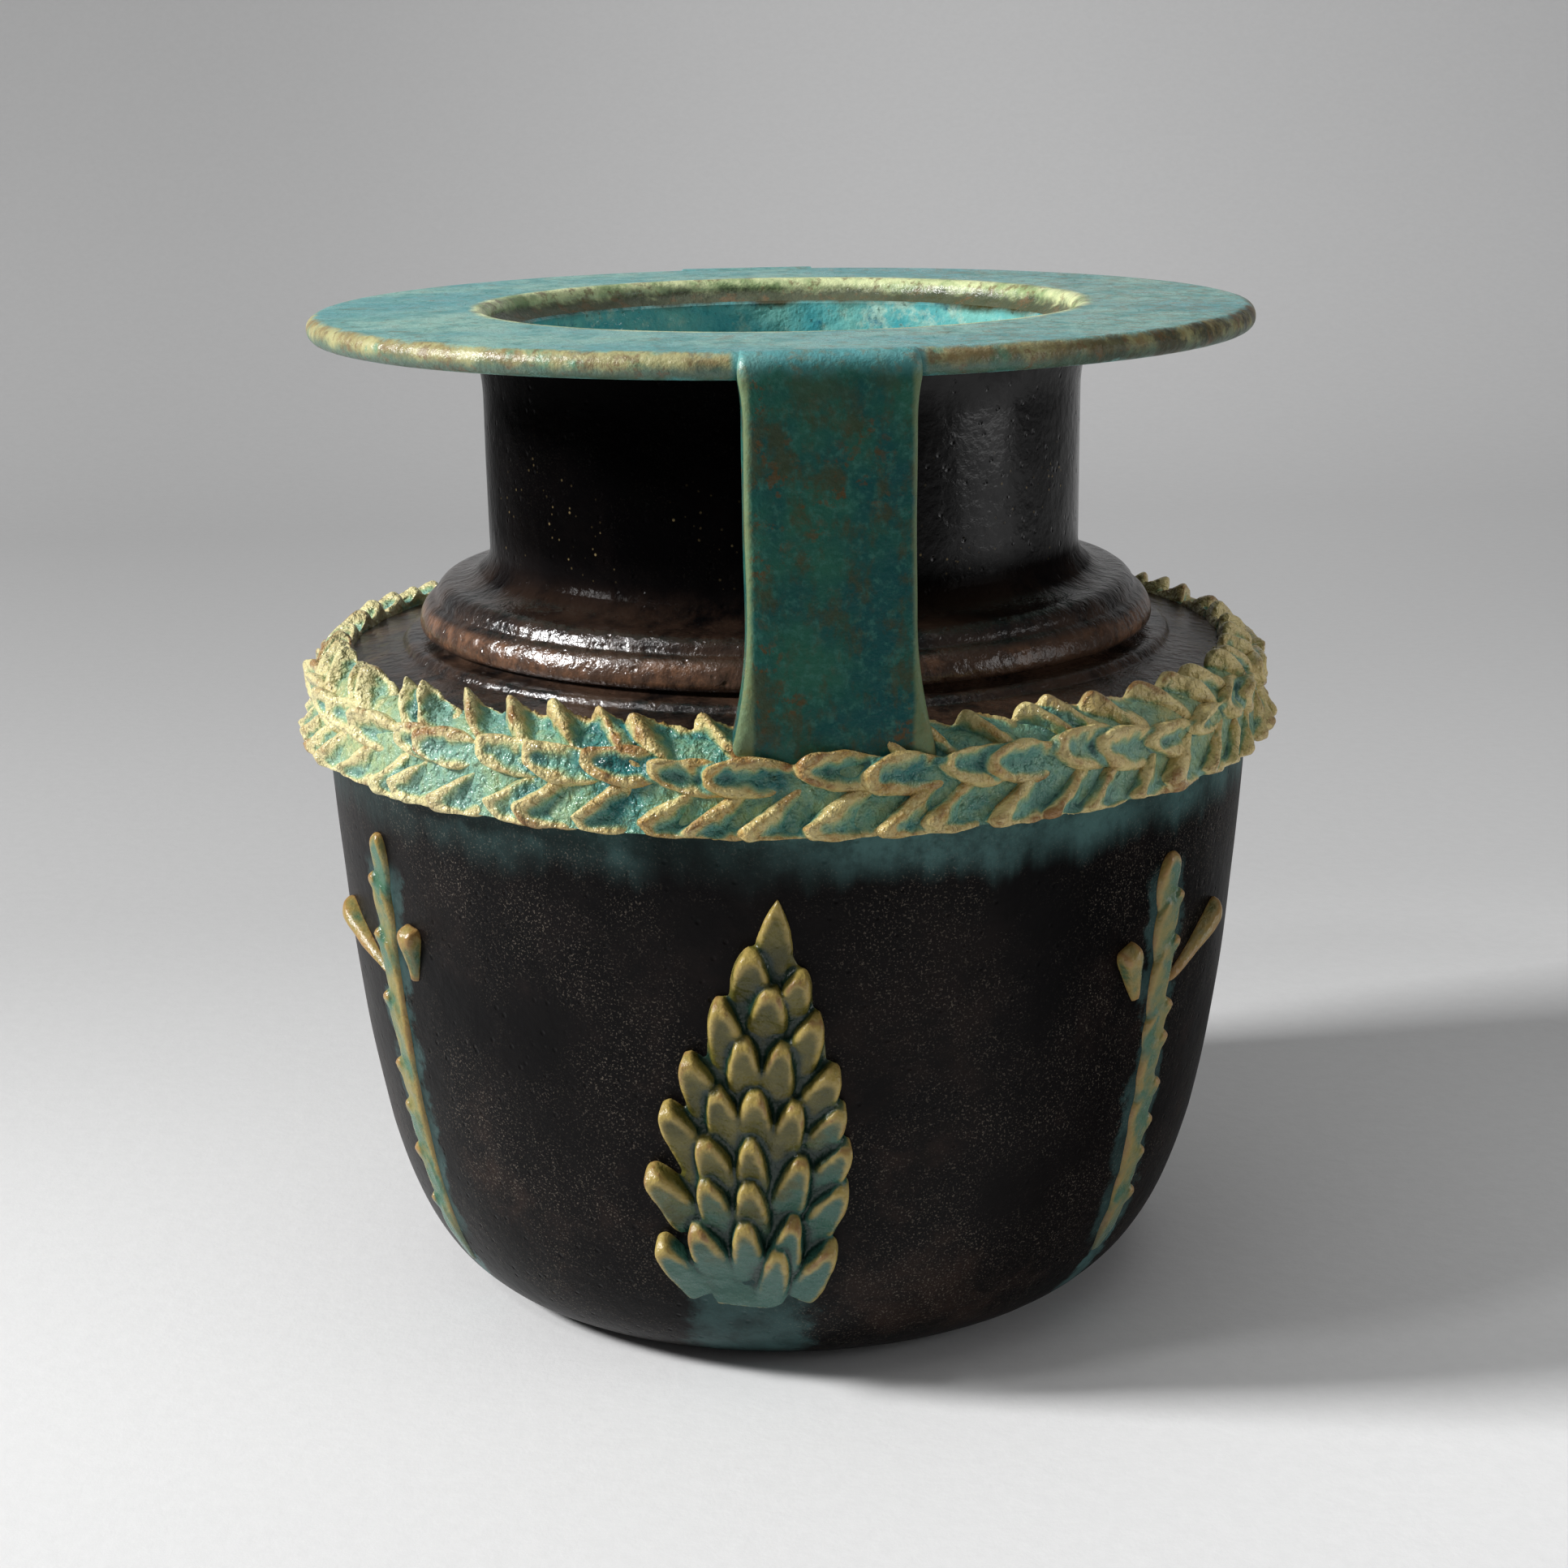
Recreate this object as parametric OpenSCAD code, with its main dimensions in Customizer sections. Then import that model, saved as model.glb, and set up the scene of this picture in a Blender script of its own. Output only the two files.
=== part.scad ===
// Wide-mouthed faience jar: flat rim, two strap handles, a leaf garland and applied cones and stalks.
// Millimetres. +Z is up, the origin is the centre of the foot, and the front handle faces -Y.
// Angles round the jar start at the front handle and grow towards +X.

/* [Bowl] */
// Diameter of the bowl at its widest line
belly_d = 200.8; // [190:0.2:212]
// Height of the widest line above the table
belly_z = 122; // [112:0.5:132]
// How far the turn above the foot is set in from the widest line
turn_in = 9.7; // [6:0.1:13]
// Height of that turn above the table
turn_z = 36.2; // [28:0.2:44]
// How far the edge of the flat foot is set in from the turn
foot_in = 30.7; // [24:0.1:38]
// Height of the upright band between the widest line and the shoulder joint
upright_h = 11; // [8:0.5:14]
// Thickness of the wall
wall = 7; // [5:0.1:9]
// Thickness of the floor
floor_t = 9; // [6:0.1:12]

/* [Shoulder] */
// Width of the shoulder between the ring and the shoulder joint
shoulder_w = 16.8; // [15:0.1:19]
// Rise from the shoulder joint to the seat of the ring
shoulder_rise = 7.8; // [6.5:0.1:10]
// Thickness of the shoulder plate
shoulder_t = 6.6; // [5:0.1:7.2]
// How far the upper face falls on its way out to the edge
shoulder_fall = 1.4; // [0.8:0.1:2]
// How far the shoulder's outer edge is rounded in
shoulder_round = 8; // [5:0.1:10]

/* [Neck] */
// How far the ring's bead is set in from the foot of the cove under it
bead_in = 4.8; // [3:0.1:6]
// Height of the bead
bead_h = 6.2; // [5:0.1:7]
// Width of the ring between its bead and the neck
ring_w = 15.6; // [13:0.1:18]
// Height of the ring piece
ring_h = 17.2; // [15:0.1:20]
// How far the inside of the ring opens out below the neck
ring_splay = 7.5; // [5:0.1:9]
// Thickness of the neck's wall
neck_t = 5.1; // [4:0.1:6.5]
// How far the neck spreads at each end
neck_flare = 2.4; // [1:0.1:4]
// Height of the neck
neck_h = 48; // [38:0.5:60]

/* [Rim] */
// How far the rim's edge is set in from the edge of the shoulder joint
rim_in = 0.8; // [0.2:0.1:1.6]
// Thickness of the rim
rim_t = 5.5; // [4.5:0.1:8]
// How far the lip of the mouth is set back from the throat
lip_back = 3.6; // [2:0.1:5]
// Radius of the roundings on the lip and on the rim's edge
rim_round = 2.6; // [1.5:0.1:3]

/* [Handles] */
// Width of a strap
strap_w = 31.4; // [24:0.2:38]
// Thickness of a strap
strap_t = 9; // [7:0.1:11]
// How far a strap's outer face stands out past the rim
strap_out = 1.5; // [1:0.1:2.5]
// Rounding of a strap's long edges
strap_round = 3.2; // [2:0.1:3.4]
// Spread of a strap on each side at its foot
strap_foot = 3.2; // [1:0.1:5]
// Spread of a strap on each side under the rim
strap_head = 1.6; // [0.5:0.1:3]

/* [Garland] */
// How far the garland reaches in over the shoulder
garland_in = 8.3; // [6:0.1:9.5]
// How far the garland reaches down below the shoulder joint
garland_down = 10.6; // [8:0.1:13]
// Thickness of the band that carries the leaves
band_t = 2.2; // [1.6:0.1:3]
// Number of leaves in the upper row
upper_leaves = 58; // [40:1:64]
// Number of leaves in the middle row
middle_leaves = 45; // [32:1:52]
// Number of leaves in the lower row
lower_leaves = 50; // [36:1:56]
// Height of the leaves' ribs above the band
leaf_relief = 2; // [1.2:0.1:2.6]
// How far the lower leaves' tips lift off the band
leaf_lift = 2; // [0.5:0.1:3]

/* [Cones] */
// Height of a cone
cone_h = 86; // [70:0.5:92]
// Width of a cone at its widest
cone_w = 42; // [34:0.5:48]
// Height of a cone's lower end above the table
cone_z = 21.5; // [18:0.5:26]
// Thickness of a cone's backing
cone_t = 2; // [1.4:0.1:3]
// Width of one scale
scale_w = 9.4; // [8:0.1:11]
// Distance between rows of scales
scale_row = 8.2; // [7:0.1:10]
// How far a scale's tip stands off the backing
scale_lift = 2.6; // [1.5:0.1:3.5]

/* [Stalks] */
// Height of a stalk
stalk_h = 92; // [76:0.5:96]
// Height of a stalk's lower end above the table
stalk_z = 15; // [12:0.5:20]
// Width of a stalk
stalk_w = 6.4; // [5:0.1:8]
// Thickness of a stalk
stalk_t = 3.6; // [2.6:0.1:5]
// Number of knots up a stalk
knots = 8; // [6:1:10]
// Length of a bud
bud_l = 14; // [10:0.5:18]
// Width of a bud
bud_w = 5; // [4:0.1:6]

/* [Hidden] */
$fn = 144;

dark_glaze = "#2b2126";
turquoise_glaze = "#3d9a95";
ochre_glaze = "#b9a763";
olive_glaze = "#8f8c4e";

// Slip joint that every applied piece keeps from what carries it
slip = 0.15;
front = 0;
back = 180;
cone_lean = 5;
front_cone_angle = -11;
back_cone_angle = 172;
left_stalk_angle = -62;
right_stalk_angle = 45.5;
back_left_stalk_angle = -125;
back_right_stalk_angle = 109;

// Levels of the luting joints, from the table up
joint_z = belly_z + upright_h;
seat_z = joint_z + shoulder_rise;
neck_z = seat_z + ring_h;
rim_z = neck_z + neck_h;
top_z = rim_z + rim_t;

// Outline of the bowl: a rounded turn above the foot, then a wall that bends gently out to the belly
belly_r = belly_d / 2;
turn_r = belly_r - turn_in;
foot_r = turn_r - foot_in;
turn_power = 2.7;
turn_straight = 0.307;
turn_slope = 0.22;
belly_slope = 0.076;
function mix(a, b, t) = a + (b - a) * t;
function bezier(p, t) = pow(1 - t, 3) * p[0] + 3 * t * pow(1 - t, 2) * p[1]
    + 3 * t * t * (1 - t) * p[2] + pow(t, 3) * p[3];
function turn_share(u) = mix(pow(1 - pow(1 - u, turn_power), 1 / turn_power), u, turn_straight);
function wall_r(t) = let (third = (belly_z - turn_z) / 3)
    bezier([turn_r, turn_r + turn_slope * third, belly_r - belly_slope * third, belly_r], t);
function outer_r(z) = z < turn_z
    ? mix(foot_r, turn_r, turn_share(max(z, 0) / turn_z))
    : z < belly_z ? wall_r((z - turn_z) / (belly_z - turn_z))
    : belly_r + belly_slope * (z - belly_z) / 2;
function outer_slope(z) = outer_r(max(z, 1) + 0.5) - outer_r(max(z, 1) - 0.5);

// Radii above the bowl, each set in from the one below it
lip_r = outer_r(joint_z);
cove_r = lip_r - shoulder_w;
bead_r = cove_r - bead_in;
neck_r = bead_r - ring_w;
neck_foot_r = neck_r + neck_flare;
throat_r = neck_r - neck_t;
ring_inner_r = throat_r + ring_splay;
mouth_r = throat_r + lip_back;
rim_r = lip_r - rim_in;

// Point on the bowl at an angle and a height, moved out along the surface's normal
function on_bowl(angle, z, out) = let (slope = outer_slope(z), n = sqrt(1 + slope * slope),
    r = outer_r(z) + out / n) [r * sin(angle), -r * cos(angle), z - out * slope / n];
function turned(angle, p) = [p[0] * sin(angle), -p[0] * cos(angle), p[1]];
function degrees_at(length, z) = length / outer_r(z) * 180 / PI;

// Closed solid through a row of sections, each a ring of the same number of points
module skin(sections, closed) {
    n = len(sections);
    m = len(sections[0]);
    last = closed ? n - 1 : n - 2;
    sides = [for (i = [0 : last], j = [0 : m - 1]) let (
        a = i * m + j, b = i * m + (j + 1) % m, c = ((i + 1) % n) * m + (j + 1) % m,
        d = ((i + 1) % n) * m + j) each [[a, b, c], [a, c, d]]];
    caps = closed ? [] : [for (j = [1 : m - 2]) each [[0, j + 1, j],
        [(n - 1) * m, (n - 1) * m + j, (n - 1) * m + j + 1]]];
    polyhedron(points = [for (s = sections) each s], faces = concat(sides, caps), convexity = 6);
}

// Levels at which the bowl's outline has its points, closer together in the turn
turn_steps = 14;
turn_crowding = 1.6;
wall_steps = 16;
bowl_levels = concat([for (i = [0 : turn_steps - 1]) turn_z * pow(i / turn_steps, turn_crowding)],
    [for (i = [0 : wall_steps]) mix(turn_z, belly_z, i / wall_steps)], [joint_z]);

module bowl_outline() {
    outside = [for (z = bowl_levels) [outer_r(z), z]];
    inside = [for (i = [len(bowl_levels) - 1 : -1 : 0]) let (z = bowl_levels[i])
        [outer_r(z) - wall, mix(floor_t, joint_z, z / joint_z)]];
    polygon(concat([[0, 0]], outside, inside, [[0, floor_t]]));
}

module bowl() {
    color(dark_glaze) rotate_extrude() bowl_outline();
}

// Height of the shoulder's upper face, which falls gently from the ring to its rounded edge
edge_r = lip_r - shoulder_round;
edge_z = seat_z - shoulder_fall;
round_steps = 8;
under_slant = 3;
function shoulder_z(r) = mix(seat_z, edge_z, (r - cove_r) / (edge_r - cove_r));

module shoulder_outline() {
    rounding = [for (i = [0 : round_steps]) let (a = 90 * i / round_steps)
        [edge_r + shoulder_round * cos(a), joint_z + (edge_z - joint_z) * sin(a)]];
    under = seat_z - shoulder_t;
    polygon(concat([[lip_r - wall, joint_z]], rounding, [[cove_r, seat_z], [ring_inner_r, seat_z],
        [ring_inner_r, under], [lip_r - wall - under_slant, under]]));
}

module shoulder() {
    color(dark_glaze) rotate_extrude() shoulder_outline();
}

// The ring: cove, bead, sloping top and the fillet that runs up into the neck
bead_level = 0.37;
bead_bulge = 1.8;
cove_under = 2;
slope_w = 6.5;
slope_h = 1.7;
cove_steps = 4;
bead_steps = 8;
fillet_steps = 6;
module neck_ring() {
    bead_z = bead_level * ring_h;
    cove = [for (i = [0 : cove_steps]) let (a = 90 * i / cove_steps, reach = bead_in + cove_under)
        [cove_r - reach * sin(a), (bead_z - bead_h / 2) * (1 - cos(a))]];
    bulge = [for (i = [1 : bead_steps - 1]) let (a = -90 + 180 * i / bead_steps)
        [bead_r - bead_bulge * (1 - cos(a)), bead_z + bead_h / 2 * sin(a)]];
    slope = [bead_r - slope_w, bead_z + bead_h / 2 + slope_h];
    fillet = [for (i = [0 : fillet_steps]) let (a = 90 * i / fillet_steps)
        [mix(slope[0], neck_foot_r, sin(a)), mix(ring_h, slope[1], cos(a))]];
    color(dark_glaze) translate([0, 0, seat_z]) rotate_extrude()
        polygon(concat([[ring_inner_r, 0]], cove, bulge, fillet, [[throat_r, ring_h]]));
}

// The neck narrows a little towards its head, and spreads softly at its foot and sharply at its head
neck_taper = 0.3;
foot_sharpness = 5;
head_sharpness = 14;
neck_steps = 16;
module neck() {
    outside = [for (i = [1 : neck_steps]) let (t = i / neck_steps,
        spread = max(pow(1 - t, foot_sharpness), pow(t, head_sharpness)))
        [neck_r + neck_flare * spread + neck_taper * (1 - t), t * neck_h]];
    color(dark_glaze) translate([0, 0, neck_z]) rotate_extrude()
        polygon(concat([[throat_r, 0], [neck_foot_r, 0]], outside, [[throat_r, neck_h]]));
}

rim_edge_steps = 8;
lip_steps = 5;
module rim_outline() {
    edge = [for (i = [0 : rim_edge_steps]) let (a = -90 + 180 * i / rim_edge_steps)
        [rim_r - rim_round * (1 - cos(a)), rim_t / 2 * (1 + sin(a))]];
    lip = [for (i = [0 : lip_steps]) let (a = 90 + 90 * i / lip_steps)
        [mouth_r + rim_round * (1 + cos(a)), rim_t - rim_round * (1 - sin(a))]];
    polygon(concat([[throat_r, 0]], edge, lip));
}

module rim() {
    color(turquoise_glaze) translate([0, 0, rim_z]) rotate_extrude() rim_outline();
}

// Path of the garland's band across its width, from its edge on the shoulder to its lower edge
low_z = joint_z - garland_down;
crest_r = lip_r - garland_in;
crest_t = band_t / 3;
joint_tuck = 0.4;
band_path = [[crest_r, shoulder_z(crest_r) + crest_t], [lip_r + crest_t, shoulder_z(crest_r) + band_t],
    [lip_r + band_t - joint_tuck, joint_z], [outer_r(low_z) + band_t, low_z]];
function band_at(s) = bezier(band_path, s);
function band_normal(s) = let (d = band_at(s + 0.01) - band_at(s - 0.01), l = norm(d)) [-d[1], d[0]] / l;
function off_band(s, out) = band_at(s) + out * band_normal(s);
band_steps = 12;
band_bed = 2;

module garland_band() {
    face = [for (i = [0 : band_steps]) band_at(i / band_steps)];
    buried = [[outer_r(low_z) - band_bed, low_z], [lip_r - 2 * band_bed, joint_z],
        [crest_r, shoulder_z(crest_r) - band_bed]];
    color(turquoise_glaze) rotate_extrude() difference() {
        polygon(concat(face, buried));
        bowl_outline();
        shoulder_outline();
    }
}

// One row of leaves as a ring. Each leaf has a rib that runs out to its tip and a dished blade beside it.
// reach is the root and the tip as places on the band's path, and lean how far the tip is turned aside.
blade = [1, 0.3, 0.62];
blade_reach = 0.86;
leaf_edge = 0.35;
root_height = 0.6;
leaf_arch = 135;
row_steps = 3;
module leaf_row(count, reach, lean, chevron, lift, relief) {
    columns = count * len(blade);
    sections = [for (j = [0 : columns - 1]) let (part = j % len(blade), base = 360 * j / columns)
        let (rows = [for (k = [0 : row_steps]) let (v = k / row_steps,
            drawn = v * (part == 0 ? 1 : blade_reach), aside = lean * (chevron ? 1 - abs(2 * v - 1) : v))
            [mix(reach[0], reach[1], drawn), base - aside, slip + lift * v * v,
                slip + lift * v * v + leaf_edge
                    + relief * blade[part] * mix(root_height, 1, sin(leaf_arch * v))]])
        concat([for (r = rows) turned(r[1], off_band(r[0], r[3]))],
            [for (k = [row_steps : -1 : 0]) turned(rows[k][1], off_band(rows[k][0], rows[k][2]))])];
    skin(sections, true);
}

upper_reach = [0.42, 0];
upper_lean = 5.5;
module garland_upper_leaves() {
    color(ochre_glaze) leaf_row(upper_leaves, upper_reach, upper_lean, false, 0, leaf_relief);
}

middle_reach = [0.45, 0.71];
middle_lean = 5;
middle_relief = 1.2 * leaf_relief;
module garland_middle_leaves() {
    color(ochre_glaze) leaf_row(middle_leaves, middle_reach, middle_lean, true, 0, middle_relief);
}

lower_reach = [0.74, 0.99];
lower_lean = 4.5;
module garland_lower_leaves() {
    color(ochre_glaze) leaf_row(lower_leaves, lower_reach, lower_lean, false, leaf_lift, leaf_relief);
}

// A strap stands on the garland, rises to the rim and laps over the rim's edge
foot_rise = 22;
foot_below = 4;
head_drop = 7;
head_round = 1.2;
strap_steps = 6;
corner_steps = 3;
function strap_half(z) = strap_w / 2
    + strap_foot * pow(max(0, 1 - (z - seat_z + foot_below) / foot_rise), 2)
    + strap_head * pow(max(0, 1 - (rim_z - z) / head_drop), 2);
function strap_section(z, inset) = let (w = strap_half(z) - inset, c = strap_round,
    outer = -rim_r - strap_out + inset, inner = -rim_r - strap_out + strap_t)
    [for (q = [0 : 3], i = [0 : corner_steps]) let (a = 90 * q + 90 * i / corner_steps,
        cx = (q == 0 || q == 3) ? w - c : c - w, cy = q < 2 ? inner - c : outer + c)
        [cx + c * cos(a), cy + c * sin(a), z]];

module strap() {
    levels = concat([for (i = [0 : strap_steps]) mix(joint_z, seat_z + foot_rise, i / strap_steps)],
        [rim_z - head_drop, rim_z - head_drop / 2, rim_z, rim_z + rim_t / 2]);
    sections = concat([for (z = levels) strap_section(z, 0)],
        [strap_section(top_z - head_round, head_round / 3), strap_section(top_z - head_round / 4, head_round)]);
    color(turquoise_glaze) difference() {
        skin(sections, false);
        translate([0, 0, rim_z]) rotate_extrude() union() {
            rim_outline();
            square([mouth_r + rim_round, rim_t]);
        }
        rotate_extrude() strap_seat();
    }
}

// What a strap's foot is cut to: the garland's leaves at their full height, with the slip joint on top
module strap_seat() {
    over = slip * 2 + leaf_edge + middle_relief;
    face = [for (i = [0 : band_steps]) off_band(i / band_steps, over)];
    polygon(concat([[crest_r - over, 0]], [[crest_r - over, seat_z]], face, [[lip_r, 0]]));
}

module handle_front() {
    rotate(front) strap();
}

module handle_back() {
    rotate(back) strap();
}

// Half width of a cone at a share of its height: round below, drawn to a point above
widest_at = 0.3;
foot_blunt = 0.14;
foot_fullness = 0.7;
point_fullness = 0.85;
point_w = 0.06;
function cone_half(t) = cone_w / 2 * (t < widest_at
    ? pow(sin(90 * (t + foot_blunt) / (widest_at + foot_blunt)), foot_fullness)
    : mix(pow(cos(90 * (t - widest_at) / (1 - widest_at)), point_fullness), 1, point_w));
function cone_middle(angle, t) = angle + cone_lean * t;

// The backing is highest along its middle and thins out towards its edges
backing_reach = [0.01, 0.95];
backing_draw = 0.97;
backing_crown = 0.45;
backing_across = 6;
backing_rows = 14;
module cone_backing(angle) {
    n = backing_across;
    sections = [for (i = [0 : backing_rows])
        let (t = mix(backing_reach[0], backing_reach[1], i / backing_rows), z = cone_z + cone_h * t,
            half = degrees_at(cone_half(t), z), mid = cone_middle(angle, t))
        concat([for (j = [0 : n]) on_bowl(mid + half * (2 * j / n - 1), z, slip)],
            [for (j = [n : -1 : 0]) let (x = 2 * j / n - 1)
                on_bowl(mid + half * x * backing_draw, z, slip + cone_t * (1 - backing_crown * x * x))])];
    skin(sections, false);
}

// One scale: a pointed blade, buried in the backing at its root and lifted at its tip.
// Each corner of its face is a share of its width, of its length and of its lift.
scale_face = [[-0.30, -0.55, 0.15], [0.30, -0.55, 0.15], [-0.46, 0, 0.35], [0.46, 0, 0.35],
    [-0.32, 0.30, 0.8], [0.32, 0.30, 0.8], [-0.1, 0.48, 0.95], [0.1, 0.48, 0.95], [0, 0, 0.75]];
face_bed = 0.8;
root_bed = 0.5;
root_share = [0.9, 0.96];
module cone_scale(angle, z, width, length, lift) {
    corners = concat(
        [for (p = scale_face) on_bowl(angle + degrees_at(p[0] * width, z), z + p[1] * length,
            cone_t * face_bed + lift * p[2])],
        [for (p = scale_face) on_bowl(angle + degrees_at(p[0] * width * root_share[0], z),
            z + p[1] * length * root_share[1], cone_t * root_bed)]);
    hull() polyhedron(points = corners, faces = [for (i = [1 : len(corners) - 2]) [0, i, i + 1]]);
}

// Scales sit in rows, each row between the scales of the last, and a long spike ends the cone
scaled_share = 0.84;
first_row = 0.075;
scale_overlap = 1.9;
side_margin = 0.6;
scale_spacing = 0.97;
spike_at = 0.9;
spike_w = 0.7;
spike_l = 0.19;
spike_lift = 0.8;
module cone(angle) {
    rows = floor(scaled_share * cone_h / scale_row);
    scale_l = scale_row * scale_overlap;
    color(olive_glaze) union() {
        cone_backing(angle);
        for (k = [0 : rows - 1]) {
            t = first_row + k * scale_row / cone_h;
            wide = 2 * cone_half(t) - scale_w * side_margin;
            count = max(1, 2 * floor((wide / scale_w + k % 2) / 2) + 1 - k % 2);
            for (i = [0 : count - 1]) {
                x = (i - (count - 1) / 2) * min(scale_w * scale_spacing, wide / max(1, count - 1));
                z = cone_z + cone_h * t;
                cone_scale(cone_middle(angle, t) + degrees_at(x, z), z, scale_w, scale_l, scale_lift);
            }
        }
        cone_scale(cone_middle(angle, spike_at), cone_z + cone_h * spike_at, scale_w * spike_w,
            cone_h * spike_l, scale_lift * spike_lift);
    }
}

module cone_front() {
    cone(front_cone_angle);
}

module cone_back() {
    cone(back_cone_angle);
}

// A stalk grows from knot to knot: each stretch swells upwards and ends in a small step on its outer side
knot_waist = 0.72;
knot_swell = 0.55;
inner_swell = 0.3;
rise_swell = 0.6;
stalk_foot = 0.8;
stalk_tip = 0.35;
stretch_steps = 4;
module stalk(angle, side) {
    steps = knots * stretch_steps;
    sections = [for (i = [0 : steps]) let (t = i / steps, u = (i % stretch_steps) / stretch_steps,
        taper = i == steps ? stalk_tip : mix(stalk_foot, 1, t), swell = taper * (knot_waist + knot_swell * u),
        outer = stalk_w / 2 * swell, inner = stalk_w / 2 * mix(taper, swell, inner_swell))
        ridge(angle, stalk_z + stalk_h * t, side < 0 ? outer : inner, side < 0 ? inner : outer,
            stalk_t * mix(taper, swell, rise_swell))];
    color(ochre_glaze) skin(sections, false);
}

// Section of a rolled strip of paste laid on the bowl: its two edges, its two cheeks and its crest
cheek = [0.8, 0.65];
function ridge(angle, z, left, right, rise) = [
    on_bowl(angle - degrees_at(left, z), z, slip), on_bowl(angle + degrees_at(right, z), z, slip),
    on_bowl(angle + degrees_at(right * cheek[0], z), z, slip + rise * cheek[1]),
    on_bowl(angle, z, slip + rise),
    on_bowl(angle - degrees_at(left * cheek[0], z), z, slip + rise * cheek[1])];

// A bud leans out from its stalk: narrow at its foot and swelling to a blunt tip
bud_foot = 0.35;
bud_arch = 170;
bud_fullness = 1.3;
bud_rise = 1.5;
bud_steps = 6;
module bud(angle, z, lean) {
    sections = [for (i = [0 : bud_steps]) let (t = i / bud_steps, level = z + bud_l * t * cos(lean),
        half = bud_w / 2 * mix(bud_foot, 1, sin(bud_arch * pow(t, bud_fullness))))
        ridge(angle + degrees_at(bud_l * t * sin(lean), level), level, half, half, half * bud_rise)];
    color(ochre_glaze) skin(sections, false);
}

bud_level = 0.73;
bud_lean = 30;
bud_gap = 0.3;
module buds(angle) {
    level = stalk_z + stalk_h * bud_level;
    foot = stalk_w / 2 * (knot_waist + knot_swell) + bud_w / 2 * bud_foot + bud_gap;
    bud(angle - degrees_at(foot, level), level, -bud_lean);
    bud(angle + degrees_at(foot, level), level, bud_lean);
}

module stalk_front_left() {
    stalk(left_stalk_angle, -1);
}

module stalk_front_right() {
    stalk(right_stalk_angle, 1);
}

module stalk_back_left() {
    stalk(back_left_stalk_angle, -1);
}

module stalk_back_right() {
    stalk(back_right_stalk_angle, 1);
}

module buds_front_left() {
    buds(left_stalk_angle);
}

module buds_front_right() {
    buds(right_stalk_angle);
}

module buds_back_left() {
    buds(back_left_stalk_angle);
}

module buds_back_right() {
    buds(back_right_stalk_angle);
}

bowl();
shoulder();
neck_ring();
neck();
rim();
handle_front();
handle_back();
garland_band();
garland_upper_leaves();
garland_middle_leaves();
garland_lower_leaves();
cone_front();
cone_back();
stalk_front_left();
stalk_front_right();
stalk_back_left();
stalk_back_right();
buds_front_left();
buds_front_right();
buds_back_left();
buds_back_right();
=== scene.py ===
import math
import random

import bmesh
import bpy
import numpy as np
from mathutils import Matrix, Vector, noise
from mathutils.kdtree import KDTree


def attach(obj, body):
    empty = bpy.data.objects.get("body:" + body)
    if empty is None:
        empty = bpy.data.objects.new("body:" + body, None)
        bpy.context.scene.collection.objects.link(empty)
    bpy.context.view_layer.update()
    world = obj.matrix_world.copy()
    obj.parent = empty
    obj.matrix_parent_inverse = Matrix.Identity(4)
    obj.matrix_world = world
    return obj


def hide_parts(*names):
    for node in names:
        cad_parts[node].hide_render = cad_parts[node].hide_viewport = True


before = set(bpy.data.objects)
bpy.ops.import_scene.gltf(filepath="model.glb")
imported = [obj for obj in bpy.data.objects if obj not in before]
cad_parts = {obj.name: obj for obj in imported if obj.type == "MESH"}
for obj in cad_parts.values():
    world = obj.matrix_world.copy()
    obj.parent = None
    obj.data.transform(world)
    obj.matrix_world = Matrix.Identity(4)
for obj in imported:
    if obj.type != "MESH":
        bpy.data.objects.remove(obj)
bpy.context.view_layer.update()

# The view: the jar is seen from a little to the left of its front handle and from just above its rim,
# through a 64 mm lens 0.6 m away. The picture is turned by a little less than a degree.
mm = 0.001
turn, distance, height, pitch, roll = math.radians(-4.84), 0.6, 0.2635, 0.258, 0.015
outward = Vector((math.sin(turn), -math.cos(turn), 0))
right = Vector((math.cos(turn), math.sin(turn), 0))
forward = -outward * math.cos(pitch) - Vector((0, 0, math.sin(pitch)))
above = right.cross(forward)
across = right * math.cos(roll) - above * math.sin(roll)
upward = right * math.sin(roll) + above * math.cos(roll)
seat = outward * distance - right * 0.9 * mm + Vector((0, 0, height))
lens = bpy.data.cameras.new("camera")
lens.lens, lens.sensor_width = 63.93, 36
camera = bpy.data.objects.new("camera", lens)
camera.matrix_world = Matrix([(across[i], upward[i], -forward[i], seat[i]) for i in range(3)] + [(0, 0, 0, 1)])
bpy.context.scene.collection.objects.link(camera)
bpy.context.scene.camera = camera


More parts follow.
